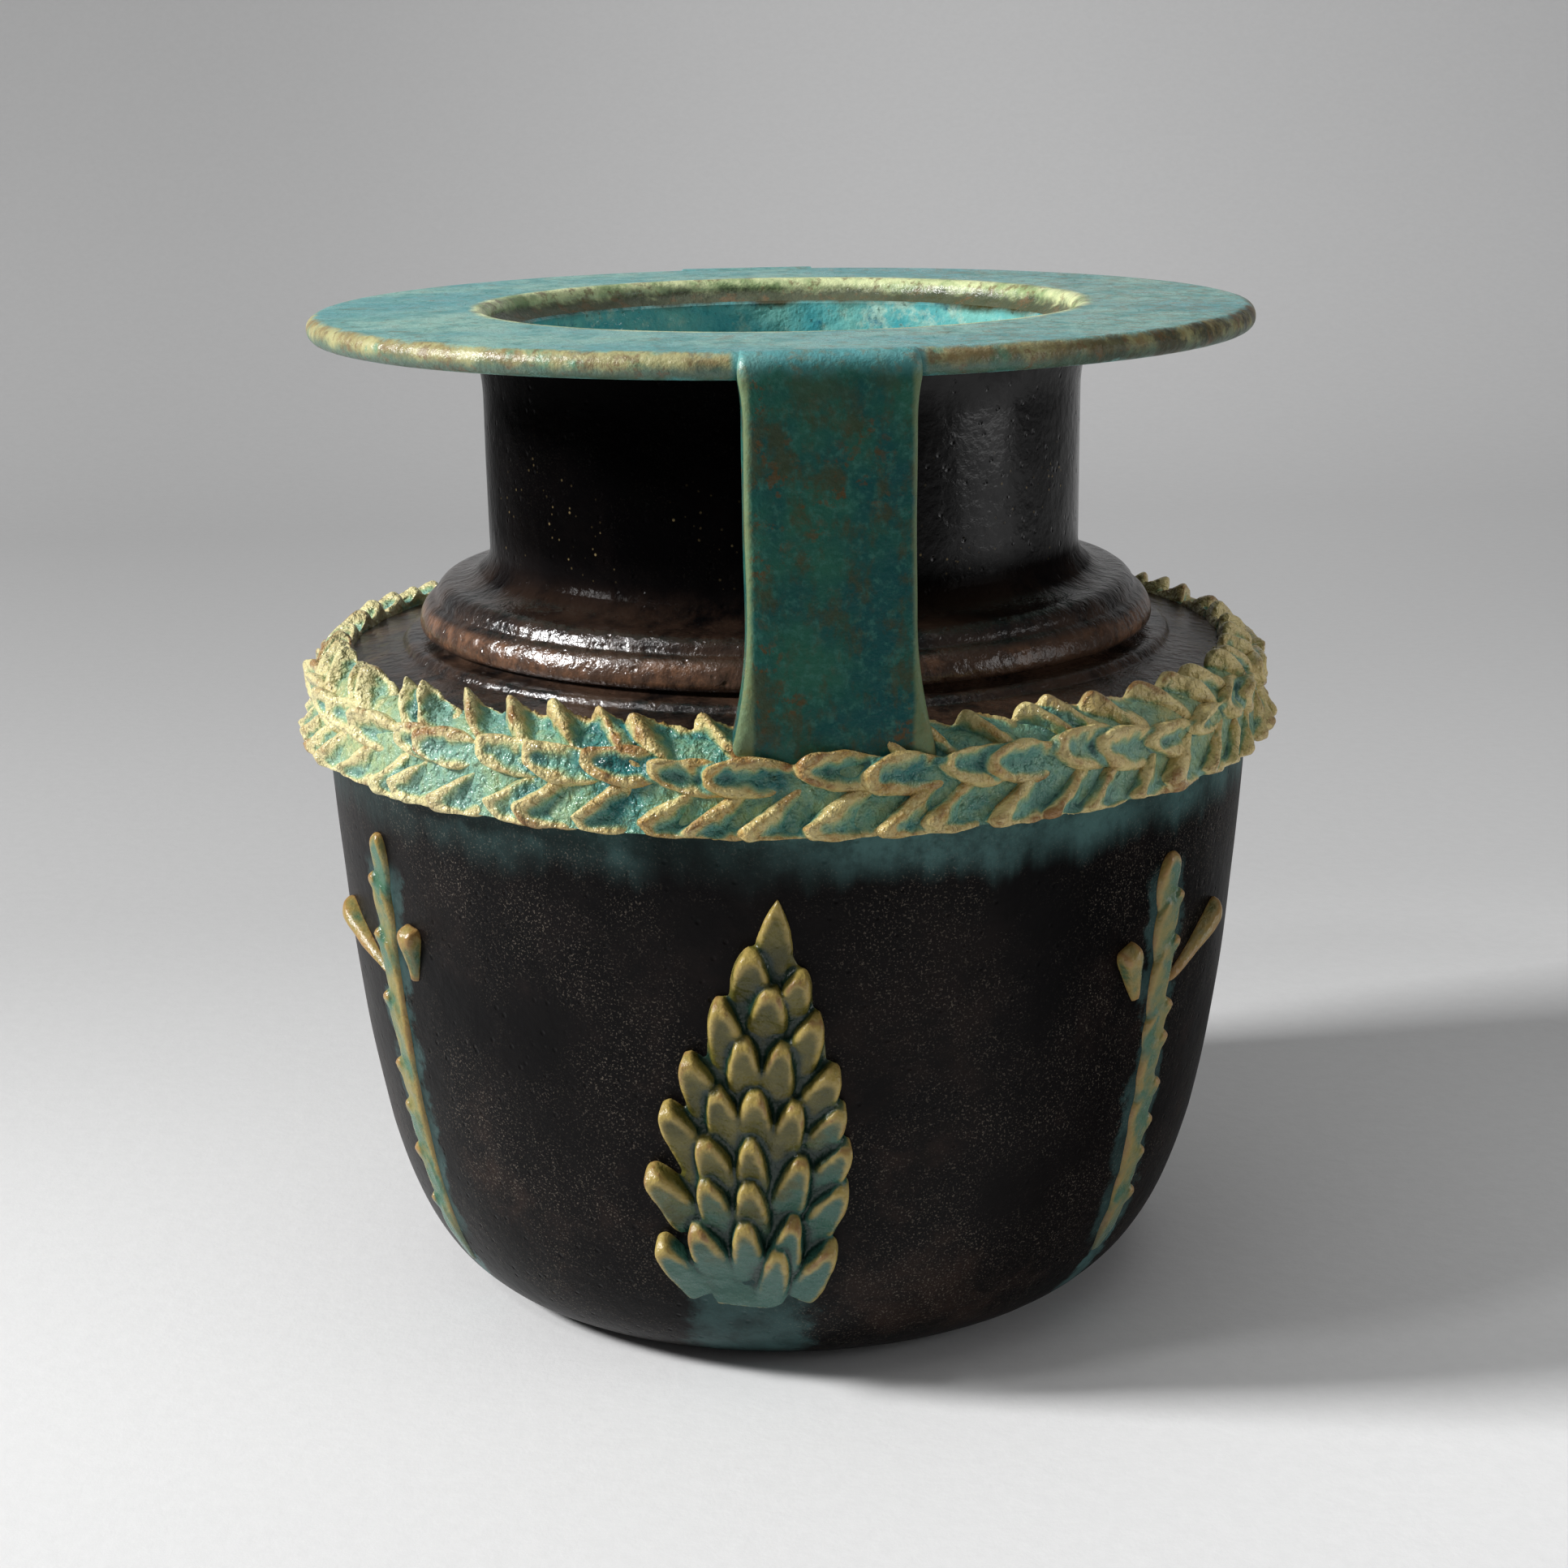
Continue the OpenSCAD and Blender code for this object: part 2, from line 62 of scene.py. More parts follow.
# The table and backdrop: one sheet of pale grey paper that lies under the jar and curves up behind it.
# Its tone is painted light and shade: brightest round the jar and greyer further off, lighter towards the
# right, and painted darker under the key lamp.
class Finish:
    """A surface finish put together from nodes; each step gives back the socket that it makes."""

    def __init__(self, name, roughness=0.5, specular=0.5):
        self.material = bpy.data.materials.new(name)
        self.material.use_nodes = True
        self.tree = self.material.node_tree
        self.shader = self.tree.nodes["Principled BSDF"]
        self.shader.inputs["Roughness"].default_value = roughness
        self.shader.inputs["Specular IOR Level"].default_value = specular
        self.place = self.tree.nodes.new("ShaderNodeTexCoord").outputs["Object"]
        axes = self.tree.nodes.new("ShaderNodeSeparateXYZ")
        self.feed(axes.inputs[0], self.place)
        self.x, self.y, self.z = axes.outputs

    def feed(self, socket, value):
        if isinstance(value, bpy.types.NodeSocket):
            self.tree.links.new(value, socket)
        elif socket.type == "RGBA":
            socket.default_value = (*value, 1)
        else:
            socket.default_value = value

    def reckon(self, operation, *values):
        node = self.tree.nodes.new("ShaderNodeMath")
        node.operation = operation
        for socket, value in zip(node.inputs, values):
            self.feed(socket, value)
        return node.outputs[0]

    def add(self, first, *others):
        for other in others:
            first = self.reckon("ADD", first, other)
        return first

    def times(self, first, *others):
        for other in others:
            first = self.reckon("MULTIPLY", first, other)
        return first

    def less(self, first, second):
        return self.reckon("SUBTRACT", first, second)

    def most(self, first, second):
        return self.reckon("MAXIMUM", first, second)

    def size(self, value):
        return self.reckon("ABSOLUTE", value)

    def sway(self, grain, share):
        """Share of how far a grain goes above or below its middle."""
        return self.times(self.less(grain, 0.5), share)

    def from_axis(self):
        """Distance from the jar's axis."""
        return self.reckon("SQRT", self.add(self.times(self.x, self.x), self.times(self.y, self.y)))

    def stretched(self, sx, sy, sz):
        node = self.tree.nodes.new("ShaderNodeMapping")
        self.feed(node.inputs["Vector"], self.place)
        node.inputs["Scale"].default_value = (sx, sy, sz)
        return node.outputs[0]

    def grain(self, scale, detail=4, roughness=0.55, place=None):
        node = self.tree.nodes.new("ShaderNodeTexNoise")
        self.feed(node.inputs["Vector"], place or self.place)
        node.inputs["Scale"].default_value = scale
        node.inputs["Detail"].default_value = detail
        node.inputs["Roughness"].default_value = roughness
        return node.outputs[0]

    def cells(self, scale, feature="F1"):
        node = self.tree.nodes.new("ShaderNodeTexVoronoi")
        node.feature = feature
        self.feed(node.inputs["Vector"], self.place)
        node.inputs["Scale"].default_value = scale
        return node.outputs["Distance"]

    def step(self, value, low, high, start=0.0, end=1.0):
        """Go softly from start, where the value is low, to end, where it is high."""
        node = self.tree.nodes.new("ShaderNodeMapRange")
        node.interpolation_type = "SMOOTHSTEP"
        for socket, item in zip(node.inputs, (value, low, high, start, end)):
            self.feed(socket, item)
        return node.outputs[0]

    def patches(self, scale, low, high, start=0.0, end=1.0, **look):
        """Patches of a grain: start outside them and end inside."""
        return self.step(self.grain(scale, **look), low, high, start, end)

    def tint(self, share, first, second):
        node = self.tree.nodes.new("ShaderNodeMix")
        node.data_type = "RGBA"
        for socket, item in zip((node.inputs[0], node.inputs[6], node.inputs[7]), (share, first, second)):
            self.feed(socket, item)
        return node.outputs[2]

    def attribute(self, name):
        node = self.tree.nodes.new("ShaderNodeAttribute")
        node.attribute_name = name
        return node.outputs["Fac"]

    def bump(self, height, depth, under=None):
        node = self.tree.nodes.new("ShaderNodeBump")
        node.inputs["Distance"].default_value = depth
        self.feed(node.inputs["Height"], height)
        if under is not None:
            self.feed(node.inputs["Normal"], under)
        return node.outputs[0]

    def close(self, colour, roughness=None, normal=None, sheen=None):
        for socket, value in (("Base Color", colour), ("Roughness", roughness), ("Normal", normal),
                              ("Specular IOR Level", sheen)):
            if value is not None:
                self.feed(self.shader.inputs[socket], value)
        return self.material


lamp_x, lamp_y = -1.295, -0.06
front_y, left_x, right_x, lying_y, curve_r, wall_h = -3.0, -3.2, 3.2, 1.0, 0.9, 2.6
curve = [(lying_y + curve_r * math.sin(a), curve_r - curve_r * math.cos(a))
         for a in np.linspace(0.1, math.pi / 2, 16)]
sweep = [(front_y, 0), (lying_y, 0)] + curve + [(lying_y + curve_r, wall_h)]
paper = bmesh.new()
row = [paper.verts.new((left_x, y, z)) for y, z in sweep]
edges = [paper.edges.new(pair) for pair in zip(row, row[1:])]
grown = bmesh.ops.extrude_edge_only(paper, edges=edges)["geom"]
bmesh.ops.translate(paper, vec=(right_x - left_x, 0, 0),
                    verts=[g for g in grown if isinstance(g, bmesh.types.BMVert)])
bmesh.ops.recalc_face_normals(paper, faces=paper.faces)
sheet = bpy.data.meshes.new("paper")
paper.to_mesh(sheet)
sheet.shade_smooth()
table = bpy.data.objects.new("paper_sweep", sheet)
bpy.context.scene.collection.objects.link(table)

pale = Finish("pale_paper", roughness=0.9, specular=0.1)
fibre = pale.grain(220, detail=6, roughness=0.7)
# painted light and shade: the paper's tone falls off away from the jar, rises to the right and dips under the
# key lamp
tone = pale.step(pale.y, -0.08, 0.28, 0.83, 0.54)
tone = pale.add(tone, pale.step(pale.y, 0.5, 1.5, 0, 0.20))
tone = pale.less(tone, pale.step(pale.y, -0.55, -0.2, 0.42, 0))
off_x, off_y = pale.less(pale.x, lamp_x), pale.less(pale.y, lamp_y)
off_lamp = pale.add(pale.times(off_x, off_x), pale.times(off_y, off_y))
tone = pale.times(tone, pale.step(pale.x, -0.35, 0.4, 0.82, 1.20), pale.step(off_lamp, 0.0, 0.95, 0.38, 1),
                  pale.step(fibre, 0.3, 0.7, 0.985, 1.015))
shade = pale.tree.nodes.new("ShaderNodeCombineColor")
for socket in shade.inputs[:3]:
    pale.feed(socket, tone)
sheet.materials.append(pale.close(shade.outputs[0], normal=pale.bump(fibre, 0.00012)))


# The light: a small softbox on the left, a smaller one higher and further to the front, a wide faint one
# overhead, a card on the right that the glaze mirrors, and a dim even room round them.
def softbox(name, place, aim, size, power):
    lamp = bpy.data.lights.new(name, "AREA")
    lamp.shape, lamp.size, lamp.energy = "SQUARE", size, power
    thing = bpy.data.objects.new(name, lamp)
    thing.location = place
    thing.rotation_euler = (Vector(aim) - Vector(place)).to_track_quat("-Z", "Y").to_euler()
    bpy.context.scene.collection.objects.link(thing)


softbox("key", (lamp_x, lamp_y, 0.85), (0, 0, 0.1), 0.26, 29)
softbox("spark", (-0.94, -0.44, 1.30), (0, 0, 0.15), 0.15, 2.6)
softbox("overhead", (0.1, 0, 1.7), (0, 0, 0), 1.6, 5.2)
softbox("card", (1.15, -0.33, 0.32), (0, 0, 0.12), 0.55, 2.4)
room = bpy.data.worlds.new("room")
room.use_nodes = True
room.node_tree.nodes["Background"].inputs["Color"].default_value = (0.10, 0.10, 0.102, 1)
bpy.context.scene.world = room
bpy.context.scene.view_settings.view_transform = "Standard"

# The bowl: thrown faience, 7 mm thick, with a flat foot, a round turn above it and a wall that rises
# almost straight. Outside it is glazed a dark aubergine, which has run and worn; inside it is turquoise.
foot_r, turn_r, turn_z, belly_r, belly_z, joint_z = 60.0, 90.7, 36.2, 100.4, 122.0, 133.0
wall, floor_t = 7.0, 9.0
turn_power, turn_straight, turn_slope, belly_slope = 2.7, 0.307, 0.22, 0.076
sharp_edge = math.radians(50)
cone_angles = {"cone_front": -10.0, "cone_back": 172.0}
stalk_angles = {"front_left": -62.0, "front_right": 45.5, "back_left": -125.0, "back_right": 109.0}


def mix(first, second, share):
    return first + (second - first) * share


def ease(value, low=0.0, high=1.0):
    share = min(max((value - low) / (high - low), 0), 1)
    return share * share * (3 - 2 * share)


def bowl_r(z):
    """Radius of the bowl's outside at a height, in mm."""
    if z < turn_z:
        u = max(z, 0) / turn_z
        return mix(foot_r, turn_r, mix((1 - (1 - u) ** turn_power) ** (1 / turn_power), u, turn_straight))
    if z < belly_z:
        t, third = (z - turn_z) / (belly_z - turn_z), (belly_z - turn_z) / 3
        reach = (turn_r, turn_r + turn_slope * third, belly_r - belly_slope * third, belly_r)
        return sum(r * c * t ** i * (1 - t) ** (3 - i) for i, (r, c) in enumerate(zip(reach, (1, 3, 3, 1))))
    return belly_r + belly_slope / 2 * (z - belly_z)


def sag(point):
    """Small departures from true that the clay took on in the hand and in the kiln, in metres."""
    radius = math.hypot(point.x, point.y)
    if radius > 0.02:
        wave = 0.45 * noise.noise(point * 13) + 0.14 * noise.noise(point * 62)
        point = Vector((point.x * (1 + wave * mm / radius), point.y * (1 + wave * mm / radius), point.z))
    point.x -= 1.4 * mm * max(0, 1 - point.z / 0.055) ** 2
    return point


def fire(name, clay, glazes, slot, *nodes, inside=None):
    """Turn clay, or a mesh that is finished, into a piece of the jar that stands for its CAD nodes. The
    second glaze goes wherever inside says so of a face's middle and normal."""
    if isinstance(clay, bmesh.types.BMesh):
        for vert in clay.verts:
            vert.co = sag(vert.co)
        for face in clay.faces:
            face.smooth = True
            if inside is not None and inside(face.calc_center_median(), face.normal):
                face.material_index = 1
        for edge in clay.edges:
            edge.smooth = len(edge.link_faces) == 2 and edge.calc_face_angle(0) < sharp_edge
        mesh = bpy.data.meshes.new(name)
        clay.to_mesh(mesh)
        clay.free()
    else:
        mesh = clay
        mesh.name = name
    for glaze in glazes:
        mesh.materials.append(glaze)
    piece = bpy.data.objects.new(name, mesh)
    bpy.context.scene.collection.objects.link(piece)
    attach(piece, "root")
    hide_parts(*nodes)


def throw(outline, closed=True, steps=192):
    """Spin an outline of radius and height in mm about the jar's axis."""
    clay = bmesh.new()
    verts = [clay.verts.new((r * mm, 0, z * mm)) for r, z in outline]
    pairs = list(zip(verts, verts[1:])) + ([(verts[-1], verts[0])] if closed else [])
    edges = [clay.edges.new(pair) for pair in pairs]
    bmesh.ops.spin(clay, geom=verts + edges, axis=(0, 0, 1), cent=(0, 0, 0), angle=math.tau, steps=steps,
                   use_merge=True)
    bmesh.ops.remove_doubles(clay, verts=clay.verts, dist=0.01 * mm)
    bmesh.ops.recalc_face_normals(clay, faces=clay.faces)
    return clay


def trickle(finish, angle, width, low, high, wander):
    """Mask of a run of glaze down the wall at an angle, with a wavering edge."""
    s, c = math.sin(math.radians(angle)), math.cos(math.radians(angle))
    sideways = finish.add(finish.times(finish.x, c), finish.times(finish.y, s))
    facing = finish.less(finish.times(finish.x, s), finish.times(finish.y, c))
    edge = finish.add(finish.size(sideways), wander)
    return finish.times(finish.step(edge, width * 0.7, width * 1.15, 1, 0), finish.step(facing, 0.02, 0.03),
                        finish.step(finish.z, low, low + 0.006),
                        finish.step(finish.z, high, high + 0.006, 1, 0))


dark = Finish("aubergine_glaze", specular=0.2)
radius = dark.from_axis()
clouds = dark.grain(17, detail=7, roughness=0.62)
colour = dark.tint(dark.step(clouds, 0.38, 0.66), (0.0016, 0.0014, 0.0016), (0.0065, 0.0052, 0.0052))
colour = dark.tint(dark.step(dark.z, 0.159, 0.167, 0, 0.8), colour, (0.0010, 0.0009, 0.0010))
worn = dark.times(dark.patches(34, 0.50, 0.70, detail=8, roughness=0.7),
                  dark.step(dark.z, 0.125, 0.03, 0.05, 1))
colour = dark.tint(dark.times(worn, 0.6), colour, (0.034, 0.020, 0.015))
specks = dark.times(dark.patches(2300, 0.57, 0.66, detail=3, roughness=0.6),
                    dark.patches(30, 0.38, 0.62, detail=6, roughness=0.65),
                    dark.step(dark.z, 0.155, 0.120, 0.06, 1))
colour = dark.tint(dark.times(specks, 0.7), colour, (0.155, 0.130, 0.104))
rubbed = dark.times(dark.step(radius, 0.0770, 0.0786), dark.step(dark.z, 0.1438, 0.1456),
                    dark.step(dark.z, 0.1482, 0.1520, 1, 0),
                    dark.patches(210, 0.36, 0.62, 0.15, 1, detail=6, roughness=0.7))
colour = dark.tint(rubbed, colour, (0.230, 0.110, 0.058))
brown = dark.times(dark.step(dark.z, 0.132, 0.1345), dark.step(dark.z, 0.146, 0.162, 1, 0),
                   dark.patches(60, 0.36, 0.60, detail=8, roughness=0.72))
colour = dark.tint(dark.times(brown, 0.85), colour, (0.070, 0.038, 0.024))
flecks = dark.times(dark.step(dark.cells(480), 0.18, 0.08), dark.patches(70, 0.52, 0.62, detail=5),
                    dark.step(dark.z, 0.160, 0.164), dark.step(dark.z, 0.192, 0.172))
colour = dark.tint(dark.times(flecks, 0.8), colour, (0.230, 0.170, 0.080))

# turquoise that ran down from the garland, and round the cones and stalks
wander = dark.sway(dark.grain(95, detail=6, roughness=0.7), 0.020)
streaks = dark.grain(1.0, detail=5, roughness=0.6, place=dark.stretched(75, 75, 9))
bleed = dark.add(dark.step(dark.z, 0.099, 0.1245, 0, 0.9), dark.times(streaks, 0.9))
eastward = dark.add(dark.grain(14, detail=4), dark.step(dark.x, -0.02, 0.04, -0.10, 0.06))
bleed = dark.times(dark.step(bleed, 0.78, 1.22), dark.step(dark.z, 0.126, 0.128, 1, 0),
                   dark.step(eastward, 0.38, 0.60, 0.12, 0.95))
for angle in cone_angles.values():
    bleed = dark.most(bleed, dark.times(trickle(dark, angle - 1.5, 0.0125, 0.001, 0.030, wander), 0.40))
for angle in stalk_angles.values():
    bleed = dark.most(bleed, dark.times(trickle(dark, angle, 0.0032, 0.002, 0.022, wander), 0.7))
    bleed = dark.most(bleed, dark.times(trickle(dark, angle, 0.0062, 0.018, 0.100, wander), 0.32))
thin = dark.patches(120, 0.34, 0.60, 0.50, 1, detail=7, roughness=0.75)
colour = dark.tint(dark.times(bleed, thin), colour, (0.092, 0.195, 0.190))

# the skin is bumpiest on the ring, and shines most on its bead and on the lit side
bumpy = dark.times(dark.step(dark.z, 0.163, 0.151, 0.35, 1), dark.step(dark.z, 0.120, 0.134, 0.30, 1))
lumpy = dark.add(dark.grain(430, detail=4, roughness=0.6), dark.times(dark.grain(120, detail=2), 1.6))
lumpy = dark.times(lumpy, bumpy)
relief = dark.bump(lumpy, 0.00042, dark.bump(dark.step(dark.cells(300), 0.02, 0.22), 0.00016))
dull = dark.less(dark.step(dark.z, 0.118, 0.136, 0.36, 0.18), dark.step(dark.z, 0.151, 0.155, 0, 0.09))
dull = dark.add(dull, dark.step(clouds, 0.3, 0.7, 0, 0.08))
sheen = dark.less(dark.step(dark.z, 0.128, 0.136, 0.08, 0.70), dark.step(dark.z, 0.1535, 0.1565, 0, 0.69))
sheen = dark.times(sheen, dark.step(dark.x, 0.015, 0.06, 1, 0.20))
across_neck = dark.times(dark.step(dark.x, 0.0, 0.03, 0.005, 0.26), dark.step(dark.x, 0.036, 0.058, 1, 0.35))
sheen = dark.tint(dark.step(dark.z, 0.160, 0.168), sheen, across_neck)
dark_glaze = dark.close(colour, dull, relief, sheen)

blue = Finish("inner_turquoise_glaze", roughness=0.12)
pool = blue.grain(70, detail=6, roughness=0.6)
colour = blue.tint(blue.step(pool, 0.35, 0.66), (0.070, 0.400, 0.440), (0.230, 0.580, 0.520))
pale_spots = blue.patches(150, 0.50, 0.64, 0, 0.75, detail=7, roughness=0.7)
colour = blue.tint(pale_spots, colour, (0.480, 0.680, 0.560))
deep_spots = blue.patches(110, 0.54, 0.66, 0, 0.85, detail=7, roughness=0.7)
colour = blue.tint(deep_spots, colour, (0.012, 0.170, 0.260))
colour = blue.tint(blue.patches(600, 0.60, 0.72, 0, 0.7, detail=4), colour, (0.040, 0.110, 0.090))
# the top of the throat just under the lip: the lip's olive glaze running down, painted darker as painted shade
# beneath the lip
under_lip = blue.step(blue.add(blue.z, blue.times(pool, 0.006)), 0.2080, 0.2105)
colour = blue.tint(under_lip, colour, (0.045, 0.040, 0.010))
inner_glaze = blue.close(colour, normal=blue.bump(blue.grain(160, detail=4), 0.0011))

levels = [turn_z * (i / 26) ** 1.8 for i in range(26)] + [*np.linspace(turn_z, belly_z, 40), 127.5, joint_z]
outside = [(bowl_r(z), z) for z in levels]
inside = [(bowl_r(z) - wall, mix(floor_t, joint_z, z / joint_z)) for z in reversed(levels)]
foot, floor = [(0, 0), (30, 0), (foot_r - 1, 0)], [(25, floor_t), (0, floor_t)]
clay = throw(foot + outside[1:] + inside + floor, closed=False)
fire("bowl", clay, (dark_glaze, inner_glaze), "dark_glaze", "bowl",
     inside=lambda c, n: math.hypot(c.x, c.y) < (bowl_r(c.z / mm) - wall * 0.6) * mm and c.z > 0.005)

# The shoulder: a nearly flat ring of the same clay that closes the bowl in, luted on and wiped smooth.
# Its outer edge is rounded and goes under the garland.
shoulder_w, shoulder_round, edge_rise, seat_rise, bore_r, under_z = 16.8, 8.0, 6.4, 7.8, 66.0, 134.2
lip_r = bowl_r(joint_z)
cove_r, seat_z = lip_r - shoulder_w, joint_z + seat_rise
edge_r, edge_z = lip_r - shoulder_round, joint_z + edge_rise
rounding = [(edge_r + shoulder_round * math.cos(a), joint_z + edge_rise * math.sin(a))
            for a in np.linspace(0, math.pi / 2, 12)]
top = [(mix(edge_r, cove_r, t), mix(edge_z, seat_z, t)) for t in (0.25, 0.5, 0.75, 1)]
top += [(cove_r - 2, seat_z + 0.1), (bore_r, seat_z)]
clay = throw([(lip_r - wall, joint_z)] + rounding + top + [(bore_r, under_z), (90.8, under_z)])
fire("shoulder", clay, (dark_glaze, inner_glaze), "dark_glaze", "shoulder", inside=lambda c, n: n.z < -0.5)

# The neck ring: a moulding with a hollow under a bead, cut on the wheel. The glaze has worn brown along
# the bead, and above a small step a soft fillet runs up from it into the neck.
bead_r, bead_z, neck_z, fillet_top, neck_r, throat_r = cove_r - 4.8, seat_z + 6.4, 158.0, 161.0, 63.7, 58.5
cove = [(cove_r - inward, seat_z + up) for inward, up in (
    (0, 0), (0.35, 0.08), (0.65, 0.32), (0.90, 0.72), (1.20, 1.16), (1.60, 1.55), (2.25, 1.80), (3.3, 1.90),
    (4.6, 2.00), (5.6, 2.20), (6.3, 2.55), (6.7, 3.0))]
bead = [(bead_r - 2.0 * (1 - math.cos(a)) - 1.1 * math.sin(a), bead_z + 3.3 * math.sin(a))
        for a in np.linspace(-1.25, 1.4, 16)]
bead += [(bead_r - inward, bead_z + up) for inward, up in (
    (3.2, 3.6), (3.4, 4.3), (3.9, 5.3), (4.7, 6.2), (5.6, 6.8))]
slope = (bead_r - 6.8, bead_z + 7.1)


def fillet(z):
    """Radius of the fillet at a height; above it, the neck's own radius."""
    share = math.acos(min(max((fillet_top - z) / (fillet_top - slope[1]), 0), 1))
    return mix(slope[0], neck_r, math.sin(share))


rise = [(fillet(z), z) for z in slope[1] + (neck_z - slope[1]) * np.linspace(0, 1, 10) ** 1.6]
clay = throw([(bore_r, seat_z)] + cove + bead + rise + [(throat_r, neck_z)])
fire("neck_ring", clay, (dark_glaze, inner_glaze), "dark_glaze", "neck_ring",
     inside=lambda c, n: n.x * c.x + n.y * c.y < 0 and math.hypot(c.x, c.y) < 0.067)

# The neck: a short thrown cylinder, 5 mm thick, a little wider below, that turns out under the rim.
# It is dark outside and turquoise in the throat.
rim_z, flare_z, flare_out = 206.0, 193, 2.9
heights = [*np.linspace(neck_z, 168, 12), *np.linspace(171, 192, 8), *np.linspace(flare_z, rim_z, 16)]
wall_up = [(fillet(z) + flare_out * (max(0, z - flare_z) / (rim_z - flare_z)) ** 2.2, z) for z in heights]
throat = [(throat_r, z) for z in np.linspace(rim_z, neck_z, 16)]
clay = throw(wall_up + throat)
fire("neck", clay, (dark_glaze, inner_glaze), "dark_glaze", "neck",
     inside=lambda c, n: math.hypot(c.x, c.y) < 0.061)

# The rim: a broad flat flange, 5.5 mm thick, glazed turquoise. The glaze has run thin and shows the ochre
# body along the rounded outer edge and down the lip of the mouth. The straps share this glaze, but theirs
# is greener and flecked with rust.
top_z, rim_r, mouth_r, edge_round = 211.5, 100.0, 62.1, 2.6
paste = Finish("turquoise_glaze", specular=0.5)
radius = paste.from_axis()
mottle = paste.grain(140, detail=6, roughness=0.7)
ragged = paste.sway(mottle, 0.006)
colour = paste.tint(paste.patches(26, 0.36, 0.64, detail=7, roughness=0.62),
                    (0.100, 0.365, 0.380), (0.270, 0.510, 0.430))
colour = paste.tint(paste.step(mottle, 0.44, 0.66, 0, 0.75), colour, (0.070, 0.270, 0.265))
stains = paste.patches(75, 0.56, 0.68, 0, 0.75, detail=8, roughness=0.75)
colour = paste.tint(stains, colour, (0.165, 0.190, 0.120))
crackle = paste.times(paste.step(paste.cells(165, "DISTANCE_TO_EDGE"), 0.0, 0.05, 1, 0),
                      paste.patches(60, 0.44, 0.58, detail=5))
colour = paste.tint(paste.times(crackle, 0.30), colour, (0.055, 0.100, 0.070))
dusty = paste.add(paste.grain(380, detail=5, roughness=0.7), paste.step(paste.x, -0.06, 0.09, -0.03, 0.06))
colour = paste.tint(paste.step(dusty, 0.53, 0.66, 0, 0.65), colour, (0.200, 0.210, 0.140))

# the bare ochre body along the edge and the lip
ochre = paste.tint(paste.patches(120, 0.42, 0.62, detail=6, roughness=0.7),
                   (0.450, 0.410, 0.180), (0.280, 0.195, 0.070))
ochre = paste.tint(paste.patches(90, 0.56, 0.70, detail=5, roughness=0.65), ochre, (0.150, 0.310, 0.180))
drip = paste.times(paste.step(paste.add(paste.z, ragged), 0.2070, 0.2096, 1, 0),
                   paste.step(radius, 0.09, 0.095))
ochre = paste.tint(paste.times(drip, 0.85), ochre, (0.040, 0.120, 0.090))
away = paste.times(paste.step(paste.x, 0.02, 0.070),
                   paste.patches(85, 0.42, 0.55, 0.25, 1, detail=7, roughness=0.72))
ochre = paste.tint(paste.times(away, 0.95), ochre, (0.040, 0.030, 0.009))
brim = paste.tint(paste.patches(75, 0.40, 0.62, detail=6, roughness=0.7),
                  (0.760, 0.800, 0.420), (0.280, 0.380, 0.150))
ochre = paste.tint(paste.step(radius, 0.068, 0.066), ochre, brim)
# the lip's lower, inward-facing half: darker olive-brown glaze, deepened further as painted shade under the
# lip's rounding
deep = paste.times(paste.step(paste.add(paste.z, ragged), 0.2080, 0.2103, 1, 0),
                   paste.step(radius, 0.0665, 0.0645))
ochre = paste.tint(paste.times(deep, 0.94), ochre, (0.036, 0.030, 0.006))
burnt = paste.times(paste.patches(230, 0.52, 0.63, detail=5, roughness=0.7), 0.7)
ochre = paste.tint(burnt, ochre, (0.170, 0.080, 0.022))
lip = paste.step(paste.add(radius, paste.times(ragged, 0.5)), 0.0642, 0.0668, 1, 0)
bare = paste.most(paste.step(paste.add(radius, ragged), 0.0972, 0.0992), lip)
strapped = paste.times(paste.step(paste.size(paste.x), 0.0165, 0.0185, 1, 0), paste.step(radius, 0.090, 0.093))
bare = paste.times(bare, paste.step(strapped, 0.0, 1.0, 1, 0))
colour = paste.tint(paste.times(bare, 0.93), colour, ochre)

# the straps, as far up as their heads lap over the edge
strap_tone = paste.tint(paste.patches(62, 0.36, 0.64, detail=6, roughness=0.6),
                        (0.010, 0.078, 0.078), (0.026, 0.125, 0.082))
bright = paste.patches(520, 0.48, 0.66, 0, 0.6, detail=5, roughness=0.7)
strap_tone = paste.tint(bright, strap_tone, (0.055, 0.190, 0.150))
rust = paste.patches(1.0, 0.47, 0.63, detail=8, roughness=0.72, place=paste.stretched(190, 190, 120))
rust = paste.times(rust, paste.step(paste.z, 0.196, 0.206, 1, 0.6))
strap_tone = paste.tint(paste.times(rust, 0.72), strap_tone, (0.062, 0.060, 0.024))
flecks = paste.times(paste.patches(420, 0.54, 0.62, detail=5, roughness=0.7),
                     paste.patches(45, 0.44, 0.60, detail=5))
strap_tone = paste.tint(paste.times(flecks, 0.8), strap_tone, (0.120, 0.062, 0.020))
# the pale line along the straps' front edges is partly glaze run thin over them and partly a painted highlight
thin_edge_and_highlight = paste.times(paste.step(paste.add(paste.size(paste.x), paste.times(ragged, 0.25)), 0.0143, 0.0155),
                    paste.step(paste.size(paste.y), 0.0986, 0.0998))
strap_tone = paste.tint(paste.times(thin_edge_and_highlight, 0.7), strap_tone, (0.190, 0.240, 0.110))
lapped = paste.times(strapped, paste.step(paste.add(paste.z, ragged), 0.2060, 0.2112, 1, 0))
strap_part = paste.most(lapped, paste.step(paste.z, 0.200, 0.204, 1, 0))
colour = paste.tint(strap_part, colour, strap_tone)

